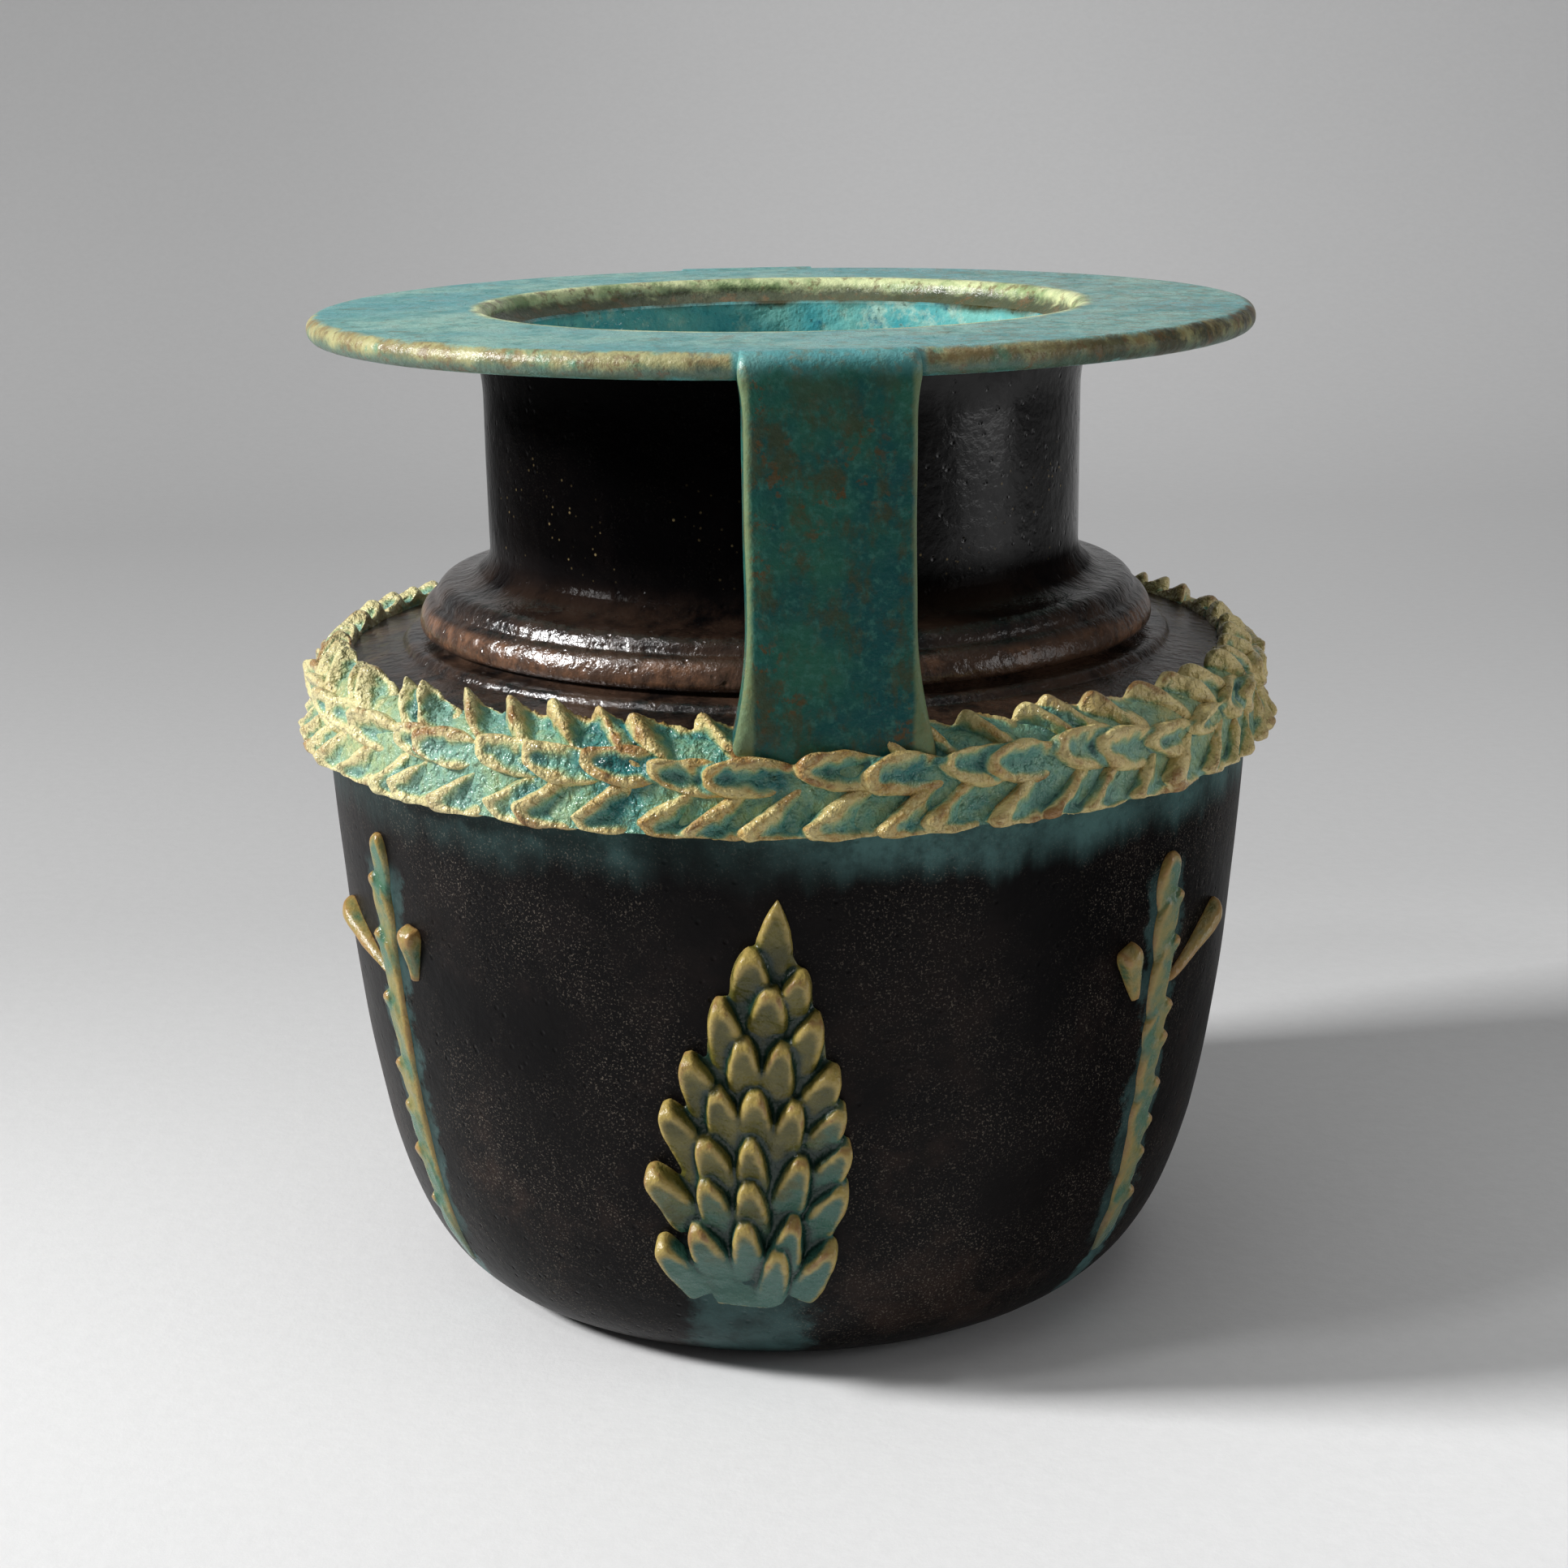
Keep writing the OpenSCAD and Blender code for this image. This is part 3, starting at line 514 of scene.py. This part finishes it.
dull = paste.most(strap_part, paste.times(paste.step(paste.x, 0.02, 0.06), paste.step(radius, 0.0965, 0.0985)))
grit = paste.grain(700, detail=4, roughness=0.65)
relief = paste.bump(grit, 0.00030, paste.bump(paste.grain(190, detail=4), 0.0006))
matt = paste.add(paste.step(mottle, 0.3, 0.7, 0.24, 0.42), paste.times(crackle, 0.2))
turquoise_glaze = paste.close(colour, matt, relief, paste.step(dull, 0, 1, 0.5, 0.16))

edge = [(rim_r - edge_round * (1 - math.cos(a)), rim_z + edge_round + edge_round * math.sin(a))
        for a in np.linspace(-math.pi / 2, math.pi / 2, 18)]
flat = [(r, mix(rim_z + 5.2, top_z - 0.05, (97.4 - r) / 32)) for r in np.linspace(96, 66, 16)]
lip_turn = [(mouth_r + edge_round * (1 + math.cos(a)), top_z - 0.05 - edge_round * (1 - math.sin(a)))
            for a in np.linspace(math.pi / 2, math.pi, 10)]
under = [(throat_r, rim_z), (66, rim_z), (82, rim_z)]
clay = throw(under + edge + flat + lip_turn + [(60.6, 207.6), (59.1, 206.6)], steps=256)
fire("rim", clay, (turquoise_glaze, inner_glaze), "turquoise_glaze", "rim",
     inside=lambda c, n: math.hypot(c.x, c.y) < 0.0592)

# The two strap handles: flat bands of paste, cut to length, that stand on the garland and lap over the
# rim's edge. The corners are pressed out by hand at both ends.
strap_w, strap_t, strap_l, strap_low, strap_face, strap_corner = 31.4, 9.0, 78.45, 133, 101.5, 1.5
foot_z, foot_rise, foot_spread = 136.8, 24, 3.8
head_z, head_rise, head_spread, lap_z, lap_h = 206.5, 8, 0.9, 208.0, 3.45
crest_r = 102


def cut(clay, place, normal):
    """Score the clay right through at a place in mm, so that it can bend there."""
    bmesh.ops.bisect_plane(clay, geom=clay.verts[:] + clay.edges[:] + clay.faces[:],
                           plane_co=[reach * mm for reach in place], plane_no=normal)


def strap(turned):
    clay = bmesh.new()
    bmesh.ops.create_cube(clay, size=1)
    bmesh.ops.scale(clay, vec=(strap_w * mm, strap_t * mm, strap_l * mm), verts=clay.verts)
    bmesh.ops.translate(clay, vec=(0, (strap_t / 2 - strap_face) * mm, (strap_low + strap_l / 2) * mm),
                        verts=clay.verts)
    upright = [e for e in clay.edges if abs(e.verts[0].co.z - e.verts[1].co.z) > 0.01]
    bmesh.ops.bevel(clay, geom=upright, offset=strap_corner * mm, offset_type="OFFSET", segments=3, profile=0.5,
                    affect="EDGES", material=-1)
    for z in [*np.arange(135, 204, 2), 204, 205, 206, 207, 207.8, 208.5, 209.2, 209.8, 210.4, 210.9, 211.2]:
        cut(clay, (0, 0, z), (0, 0, 1))
    for x in np.linspace(-11, 11, 9):
        cut(clay, (x, 0, 0), (1, 0, 0))
    for y in (-99.5, -97.0, -94.5):
        cut(clay, (0, y, 0), (0, 1, 0))
    for vert in clay.verts:
        x, y, z = vert.co / mm
        depth = (y + strap_face) / strap_t
        foot = max(0, 1 - (z - foot_z) / foot_rise) ** 2
        head = max(0, 1 - (head_z - z) / head_rise) ** 2 if z < head_z else 1.0
        over = max(0, (z - lap_z) / lap_h)
        x *= 1 + (foot_spread * foot + head_spread * head) / (strap_w / 2) - 0.05 * over ** 2
        y -= 0.4 * foot * (1 - depth)
        y += (x * x / (2 * crest_r) + 0.5) * ease(-z, -142, -135.5)
        y += 3.4 * (1 - math.sqrt(max(0, 1 - min(over, 1) ** 2))) * (1 - depth)
        z -= 0.9 * ease(depth, 0.35, 1.0) * ease(z, 206, 211.4)
        vert.co = Vector((x, y, z)) * mm
        pressed = 0.30 * noise.noise(vert.co * 55 + Vector((turned, 0, 0))), 0.22 * noise.noise(vert.co * 48), 0
        vert.co += Vector(pressed) * mm
    bmesh.ops.rotate(clay, cent=(0, 0, 0), matrix=Matrix.Rotation(math.radians(turned), 3, "Z"),
                     verts=clay.verts)
    return clay


fire("handle_front", strap(0), (turquoise_glaze,), "turquoise_glaze", "handle_front")
fire("handle_back", strap(180), (turquoise_glaze,), "turquoise_glaze", "handle_back")

# The garland's band: a strip of paste wrapped round the shoulder joint. It flares off the wall along its
# lower edge, and its glaze is thickest and bluest between the leaves.
corners = np.array([(94.6, 139.5), (98.0, 139.0), (100.9, 136.6), (102.3, 132.6), (102.5, 128.2),
                    (103.7, 122.3)])
for _ in range(3):
    cut_off = [np.array([mix(a, b, 0.25), mix(a, b, 0.75)]) for a, b in zip(corners, corners[1:])]
    corners = np.vstack([corners[:1]] + cut_off + [corners[-1:]])
ends = np.vstack([corners[:1] - (corners[1] - corners[0]) * 6, corners,
                  corners[-1:] + (corners[-1] - corners[-2]) * 6])
way = np.concatenate([[0], np.cumsum(np.hypot(*np.diff(ends, axis=0).T))])
way -= way[1]
band_l = way[-2]
slopes = np.gradient(ends, way, axis=0)
around_r = 100


def on_band(a, b, out):
    """Point over the band: a mm to the right of the front handle, b mm down from the crest, out mm off it."""
    r, z = np.interp(b, way, ends[:, 0]), np.interp(b, way, ends[:, 1])
    dr, dz = np.interp(b, way, slopes[:, 0]), np.interp(b, way, slopes[:, 1])
    r, z, angle = r - dz * out, z + dr * out, a / around_r
    return Vector((r * math.sin(angle), -r * math.cos(angle), z)) * mm


wreath = Finish("garland_glaze", specular=0.5)
proud = wreath.attribute("proud")
pool = wreath.grain(85, detail=6, roughness=0.6)
speck = wreath.grain(420, detail=4, roughness=0.6)
colour = wreath.tint(wreath.step(pool, 0.34, 0.64), (0.024, 0.165, 0.160), (0.150, 0.380, 0.280))
# painted light: the glaze is painted lighter towards the lit left side and towards the right, where the card
# falls
colour = wreath.tint(wreath.step(wreath.x, -0.035, -0.085, 0, 0.6), colour, (0.360, 0.560, 0.420))
colour = wreath.tint(wreath.step(wreath.x, 0.015, 0.07, 0, 0.65), colour, (0.320, 0.520, 0.390))
# the term in the size of x shows more ochre towards both sides, as painted light
shown = wreath.add(proud, wreath.sway(pool, 1.3), wreath.step(wreath.size(wreath.x), 0.03, 0.09, 0, 0.15),
                   wreath.sway(speck, 0.6), wreath.times(wreath.attribute("tip"), 0.45),
                   wreath.sway(wreath.grain(16, detail=2), 0.7))
colour = wreath.tint(wreath.step(shown, -0.15, 0.40), colour, (0.330, 0.430, 0.210))
colour = wreath.tint(wreath.step(proud, -0.85, -0.30, 0.7, 0), colour, (0.010, 0.085, 0.092))
ochre = wreath.tint(wreath.patches(150, 0.42, 0.64, detail=6, roughness=0.7),
                    (0.680, 0.560, 0.240), (0.470, 0.290, 0.085))
# painted light: the ochre is painted paler on the lit left and on the right
ochre = wreath.tint(wreath.step(wreath.x, -0.03, -0.085, 0, 0.6), ochre, (0.800, 0.760, 0.430))
ochre = wreath.tint(wreath.step(wreath.x, 0.015, 0.07, 0, 0.65), ochre, (0.850, 0.700, 0.330))
colour = wreath.tint(wreath.step(shown, 0.20, 0.62), colour, ochre)
burnt = wreath.times(wreath.step(proud, 0.30, 0.85), wreath.patches(70, 0.48, 0.64, detail=6, roughness=0.7))
colour = wreath.tint(wreath.times(burnt, 0.85), colour, (0.270, 0.110, 0.030))
relief = wreath.bump(wreath.grain(560, detail=3), 0.0014, wreath.bump(wreath.grain(230, detail=4), 0.0019))
wreath_glaze = wreath.close(colour, wreath.step(speck, 0.3, 0.7, 0.10, 0.20), relief)

face_line = [on_band(0, b, 0) for b in np.linspace(0, band_l, 22)]
buried = [(bowl_r(122.6) + 0.6, 122.0), (lip_r - 0.5, joint_z - 4), (lip_r - 3, joint_z + 3), (94.0, 138.2)]
clay = throw([(-p.y / mm, p.z / mm) for p in face_line] + buried, steps=256)
fire("garland_band", clay, (wreath_glaze,), "turquoise_glaze", "garland_band")

# The garland's upper leaves: pressed one by one, laid like shingles from left to right. They point up and
# to the left, and their tips stand up as a toothed crest over the shoulder. None lies under a strap.
hand = random.Random(11)
pointed, blunt = (0.66, 0.92, 1.0, 0.92, 0.76, 0.56, 0.32), (0.66, 0.92, 1.0, 0.98, 0.90, 0.74, 0.48)
lengthwise, crosswise = (0, 0.2, 0.4, 0.6, 0.78, 0.91, 1), (-1, -0.84, -0.48, 0, 0.48, 0.84, 1)
strap_gap = 0.11


def lump():
    """Clay that leaves are laid on; it keeps how near each spot is to a leaf's tip."""
    clay = bmesh.new()
    clay.verts.layers.float.new("tip")
    return clay


def leaf(clay, lay, root, tip, width, shape, low, high, rim=0.0, skew=0.0, dish=0.0, bed=1.4, lift=0.0,
         bend=0.0, hook=0.0):
    """Press on one leaf: shape is its half width from root to tip, low and high its height at both ends,
    rim how far its edges stand up, skew how much more the one edge does, dish how deep it is hollowed, bed
    how deep it is pressed in, lift how far its tip comes off, bend how far it bows to one side, and hook how
    far the tip is drawn over to that side."""
    under = bmesh.ops.create_grid(clay, x_segments=6, y_segments=6, size=1)["verts"]
    blank = list(dict.fromkeys(face for vert in under for face in vert.link_faces))
    grown = bmesh.ops.extrude_face_region(clay, geom=blank)["geom"]
    over = [g for g in grown if isinstance(g, bmesh.types.BMVert)]
    root, tip = Vector(root), Vector(tip)
    ahead = tip - root
    side = Vector((-ahead.y, ahead.x)).normalized()
    mark = clay.verts.layers.float["tip"]
    for verts, face in ((under, False), (over, True)):
        for vert in verts:
            row, column = round((vert.co.x + 1) * 3), round((vert.co.y + 1) * 3)
            u, w = lengthwise[row], crosswise[column]
            drawn = hook * (1 - shape[row]) * ease(u, 0.2, 0.6)
            aside = width / 2 * (w * shape[row] + drawn) + bend * math.sin(math.pi * u)
            spot = root + ahead * u + side * aside
            free = lift * u * u
            if not face:
                out = free - bed
            elif row == 6:
                out = free + 0.45 * high
            elif column in (0, 6):
                out = free - 0.35
            else:
                brim = max(math.exp(-((abs(w) - 0.70) / 0.38) ** 2), ease(u, 0.74, 0.94))
                out = free + mix(low, high, ease(u)) + rim * (1 + skew * w) * brim * ease(u, -0.2, 0.4)
                out -= dish * (1 - brim)
            vert.co = lay(spot.x, spot.y, out)
            vert[mark] = ease(u, 0.35, 1.0) if face else 0.0


def fuse(clay, grain, dents, softness=2):
    """Wet the clay so that what was laid on melts together, and leave finger dents in it, so many mm deep.
    It keeps two marks: how far each spot stands proud of its surroundings, and how near it is to a tip."""
    for vert in clay.verts:
        vert.co = sag(vert.co)
    bmesh.ops.recalc_face_normals(clay, faces=clay.faces)
    mark = clay.verts.layers.float["tip"]
    tree, marks = KDTree(len(clay.verts)), np.array([vert[mark] for vert in clay.verts])
    for number, vert in enumerate(clay.verts):
        tree.insert(vert.co, number)
    tree.balance()
    rough = bpy.data.meshes.new("clay")
    clay.to_mesh(rough)
    clay.free()
    wet = bpy.data.objects.new("clay", rough)
    bpy.context.scene.collection.objects.link(wet)
    round_off = wet.modifiers.new("round", "SUBSURF")
    round_off.levels = round_off.render_levels = 2
    melt = wet.modifiers.new("melt", "REMESH")
    melt.mode, melt.voxel_size = "VOXEL", grain * mm
    wipe = wet.modifiers.new("wipe", "SMOOTH")
    wipe.factor, wipe.iterations = 0.5, softness
    mesh = bpy.data.meshes.new_from_object(wet.evaluated_get(bpy.context.evaluated_depsgraph_get()))
    bpy.data.objects.remove(wet)
    bpy.data.meshes.remove(rough)
    mesh.shade_smooth()
    count = len(mesh.vertices)
    spots, normals, pairs = np.empty(count * 3), np.empty(count * 3), np.empty(len(mesh.edges) * 2, int)
    mesh.vertices.foreach_get("co", spots)
    mesh.vertices.foreach_get("normal", normals)
    mesh.edges.foreach_get("vertices", pairs)
    spots, normals, (a, b) = spots.reshape(-1, 3), normals.reshape(-1, 3), pairs.reshape(-1, 2).T
    dent = np.array([noise.noise(p * 150) + 0.22 * noise.noise(p * 430) for p in map(Vector, spots)])
    spots = spots + normals * (dents * mm * np.clip(dent, -1.2, 0.8))[:, None]
    mesh.vertices.foreach_set("co", spots.ravel())
    near = np.bincount(a, minlength=count) + np.bincount(b, minlength=count)
    tips = np.array([marks[tree.find(spot)[1]] for spot in spots])
    soft = np.column_stack([spots, tips])
    for turns in range(int(22 * (0.5 / grain) ** 2)):
        total = [np.bincount(a, soft[b, k], count) + np.bincount(b, soft[a, k], count) for k in range(4)]
        soft = 0.5 * soft + 0.5 * np.stack(total, 1) / near[:, None]
        if turns == 7:
            tips = soft[:, 3].copy()
    proud = ((spots - soft[:, :3]) * normals).sum(1) / (0.45 * mm)
    for name, values in (("proud", np.clip(proud, -1, 1)), ("tip", tips)):
        mesh.attributes.new(name, "FLOAT", "POINT").data.foreach_set("value", values.astype(np.float32))
    return mesh


def laid(count):
    """Places round the garland: how far along each leaf is, how loosely it was laid, and how far it was
    pushed up. The hand was less even right of the front handle, and pushed up most on its left."""
    for i in range(count):
        along = (i + 0.28 * hand.uniform(-1, 1)) / count
        angle = 360 * along if along < 0.5 else 360 * along - 360
        yield (math.tau * around_r * along, 1 + 1.2 * math.exp(-((angle - 48) / 15) ** 2),
               math.exp(-((angle + 38) / 26) ** 2))


def astray(by):
    """A departure of up to so many mm either way."""
    return by * hand.uniform(-1, 1)


clay = lump()
for a, loose, pushed in laid(58):
    if abs(math.sin(a / around_r)) < strap_gap:
        continue
    reach = 11.2 + 1.6 * loose + loose * hand.uniform(-0.9, 0.9)
    leaf(clay, on_band, (a + 8, 8.0 + astray(0.6 * loose)), (a + 8 - reach, -2.2 - 1.3 * pushed + astray(0.8)),
         10.4 + astray(1.2 * loose), blunt, -1.2, 1.2, rim=2.2, skew=-0.8, dish=0.5, lift=0.8 + 1.6 * pushed,
         bend=0.6, hook=-0.8)
fire("garland_upper_leaves", fuse(clay, 0.5, 0.8), (wreath_glaze,), "ochre_glaze", "garland_upper_leaves")

# The garland's middle leaves: longer and flatter, they point straight to the left, each tip on the root of
# the next, so that their raised rims make a chain of open hooks.
narrow = (0.45, 0.80, 1.0, 0.94, 0.74, 0.50, 0.20)
clay = lump()
for a, loose, pushed in laid(50):
    b = 10.5 - 0.6 * pushed + astray(0.7 * loose)
    leaf(clay, on_band, (a + 9.5, b + astray(0.8 * loose)), (a - 9, b), 8.6 + astray(0.9 * loose), narrow,
         -0.6, 1.6, rim=2.3, skew=hand.uniform(0.0, 0.8), dish=1.2, hook=hand.uniform(-0.2, 0.6))
fire("garland_middle_leaves", fuse(clay, 0.5, 0.8), (wreath_glaze,), "ochre_glaze", "garland_middle_leaves")

# The garland's lower leaves: pressed on like the others, they point down and to the left, and their tips
# hang clear of the wall as a ragged fringe.
clay = lump()
for a, loose, pushed in laid(58):
    reach = 12.5 + loose * hand.uniform(-1.8, 0.8)
    leaf(clay, on_band, (a + 9, 14.0 + astray(0.5 * loose)),
         (a + 9 - reach, band_l + 2.4 - 1.2 * pushed + astray(0.8)), 10.0 + astray(1.1 * loose), pointed,
         -1.2, 0.4, rim=1.85, skew=0.8, dish=0.7, bed=1.5, lift=1.2, bend=-0.6, hook=0.8)
fire("garland_lower_leaves", fuse(clay, 0.5, 0.8), (wreath_glaze,), "ochre_glaze", "garland_lower_leaves")


# The two cones: a low oval cushion of paste with pointed scales laid on it from the top down, below each
# handle. The tips stand off the wall, and the glaze is olive on them and turquoise in the hollows, where the
# deepest gaps between the scales are painted near-black as painted shade.
def on_wall(angle):
    """Lay-out of the wall round an angle: mm across at the belly, height above the table, mm off the wall."""
    def lay(a, b, out):
        slope = bowl_r(b + 0.5) - bowl_r(b - 0.5)
        size = math.hypot(1, slope)
        r, theta = bowl_r(b) + out / size, math.radians(angle) + a / around_r
        return Vector((r * math.sin(theta), -r * math.cos(theta), b - out * slope / size)) * mm
    return lay


scale_tips = [
    (11.1, 95.3), (1.5, 99.7), (5.3, 92.6), (-5.0, 89.4), (13.9, 86.6), (-0.6, 82.0), (7.4, 81.2),
    (-11.9, 77.8), (17.4, 75.4), (-6.3, 71.4), (1.6, 70.9), (9.7, 68.6), (-17.1, 66.8), (18.9, 67.4),
    (-9.1, 60.7), (0.3, 60.7), (20.0, 59.2), (10.8, 56.6), (-21.1, 52.5), (-9.6, 51.7), (-0.2, 51.4),
    (19.5, 50.1), (9.1, 42.7), (-1.5, 42.5), (-12.2, 40.8), (-20.4, 36.3), (5.9, 36.7), (17.3, 36.4)]
cushion, spike = (0.50, 0.95, 1.0, 0.90, 0.62, 0.36, 0.0), (0.6, 0.9, 1.0, 0.9, 0.6, 0.3, 0.0)
tongue = (0.80, 1.0, 0.98, 0.88, 0.70, 0.48, 0.16)
fan_out = 1.35

pine = Finish("cone_glaze", specular=0.45)
pool = pine.grain(90, detail=6, roughness=0.6)
speck = pine.grain(480, detail=4, roughness=0.6)
olive = pine.tint(pine.step(pool, 0.36, 0.64), (0.066, 0.064, 0.010), (0.150, 0.130, 0.026))
damp = pine.add(pine.step(pine.z, 0.075, 0.018), pine.sway(pool, 1.8),
                pine.step(pine.x, -0.016, 0.004, 0, 0.55))
olive = pine.tint(pine.step(damp, 0.35, 0.90, 0, 0.85), olive, (0.022, 0.120, 0.100))
# painted shade: the gaps between the scales are painted near-black where they lie lowest
hollow = pine.add(pine.attribute("proud"), pine.sway(speck, 0.5))
colour = pine.tint(pine.step(hollow, -0.50, 0.0, 0.95, 0), olive, (0.006, 0.030, 0.022))
edged = pine.add(hollow, pine.times(pine.attribute("tip"), 0.30))
colour = pine.tint(pine.step(edged, 0.30, 1.0, 0, 0.95), colour, (0.420, 0.310, 0.090))
burnt = pine.times(pine.step(edged, 0.75, 1.15), pine.patches(120, 0.48, 0.60, detail=5), 0.7)
colour = pine.tint(burnt, colour, (0.240, 0.110, 0.045))
relief = pine.bump(pine.grain(260, detail=3), 0.0005)
relief = pine.bump(pine.grain(650, detail=4, roughness=0.6), 0.00035, relief)
cone_glaze = pine.close(colour, pine.step(speck, 0.3, 0.7, 0.22, 0.38), relief)

for name, angle in cone_angles.items():
    clay, lay = lump(), on_wall(angle)
    leaf(clay, lay, (-2.0, 17.5), (6.2, 103.0), 35.0, cushion, 0.6, 0.7, bed=0.6)
    leaf(clay, lay, (4.8, 88.0), (6.6, 109.4), 8.2, spike, 0.6, 1.6, bed=0.6)
    for tip_x, tip_z in scale_tips:
        if name == "cone_back":
            tip_x, tip_z = tip_x + hand.uniform(-0.8, 0.8), tip_z + hand.uniform(-0.8, 0.8)
        lean = math.radians(fan_out * tip_x)
        length = 18.0 if tip_z < 90 else 14.5
        leaf(clay, lay, (tip_x - length * math.sin(lean), tip_z - length * math.cos(lean)), (tip_x, tip_z),
             8.6 + astray(0.8), tongue, -0.2, 4.4, rim=0.5, skew=hand.uniform(-0.6, 0.6), dish=-0.3, bed=0.6)
    fire(name, fuse(clay, 0.42, 0.35), (cone_glaze,), "olive_glaze", name)

# The four stalks: strips of paste pressed on below the garland between the cones, notched into sheaths
# that end in small knots on the side away from the cone.
knots = {-1: (100, 88, 74, 59, 49.5, 39, 27), 1: (97, 87, 73, 66, 55.5, 47, 39.5, 30)}
strip, sheath = (0.8, 1.0, 1.0, 0.9, 0.8, 0.7, 0.5), (0.55, 0.80, 1.0, 1.0, 0.88, 0.64, 0.25)

twig = Finish("stalk_glaze", specular=0.5)
pool = twig.grain(110, detail=6, roughness=0.6)
colour = twig.tint(twig.step(pool, 0.40, 0.62), (0.055, 0.145, 0.085), (0.230, 0.205, 0.062))
shown = twig.add(twig.attribute("proud"), twig.sway(pool, 1.2))
colour = twig.tint(twig.step(shown, 0.10, 0.75), colour, (0.325, 0.230, 0.065))
colour = twig.tint(twig.times(twig.step(shown, 0.6, 0.95), 0.6), colour, (0.340, 0.170, 0.060))
colour = twig.tint(twig.step(twig.z, 0.034, 0.012, 0, 0.75), colour, (0.060, 0.150, 0.120))
relief = twig.bump(twig.grain(260, detail=3), 0.0004)
relief = twig.bump(twig.grain(650, detail=4, roughness=0.6), 0.00030, relief)
stalk_glaze = twig.close(colour, twig.step(pool, 0.3, 0.7, 0.22, 0.36), relief)

for place, angle in stalk_angles.items():
    side = -1 if place.endswith("left") else 1
    top_of, foot_of = (110, 14) if side < 0 else (106, 18)
    clay, lay = lump(), on_wall(angle)
    leaf(clay, lay, (0, foot_of), (0, top_of), 7.0, strip, 1.2, 1.1, bed=0.5)
    ends_up = (top_of,) + knots[side]
    for knot, below in zip(ends_up, ends_up[1:] + (foot_of,)):
        thick = mix(1.2, 1.8, ease(knot, 20, 100))
        shift = 0 if knot == top_of else 1.0 * side
        leaf(clay, lay, (-0.5 * side, max(below - 4, foot_of - 2)), (shift, knot + 0.8), 7.2 + astray(0.9),
             sheath, 0.5, thick, bed=0.5, bend=0.4)
        if knot < top_of:
            leaf(clay, lay, (0.8 * side, knot - 6.0), (3.5 * side, knot + 1.6), 3.8, sheath, 0.3, thick + 0.5,
                 bed=0.5)
    fire(f"stalk_{place}", fuse(clay, 0.4, 0.3), (stalk_glaze,), "ochre_glaze", f"stalk_{place}")

# The buds: two drops of paste on each stalk, below its top, narrow where they spring from it and leaning
# out to either side, with blunt tips that stand off the wall.
drop = (0.45, 0.62, 0.76, 0.88, 1.0, 1.0, 0.70)
buds = {-1: ((-2.5, 79.0, -25.6, 89.6, 4.0), (9.2, 80.5, 10.6, 92.8, 5.6)),
        1: ((-8.0, 76.8, -13.6, 89.8, 6.0), (3.6, 78.0, 24.8, 89.8, 4.0))}
for place, angle in stalk_angles.items():
    clay, lay = lump(), on_wall(angle)
    for foot_a, foot_b, tip_a, tip_b, width in buds[-1 if place.endswith("left") else 1]:
        leaf(clay, lay, (foot_a, foot_b), (tip_a, tip_b), width, drop, 0.3, 3.0, bed=0.5, dish=-1.2)
    fire(f"buds_{place}", fuse(clay, 0.4, 0.3), (stalk_glaze,), "ochre_glaze", f"buds_{place}")
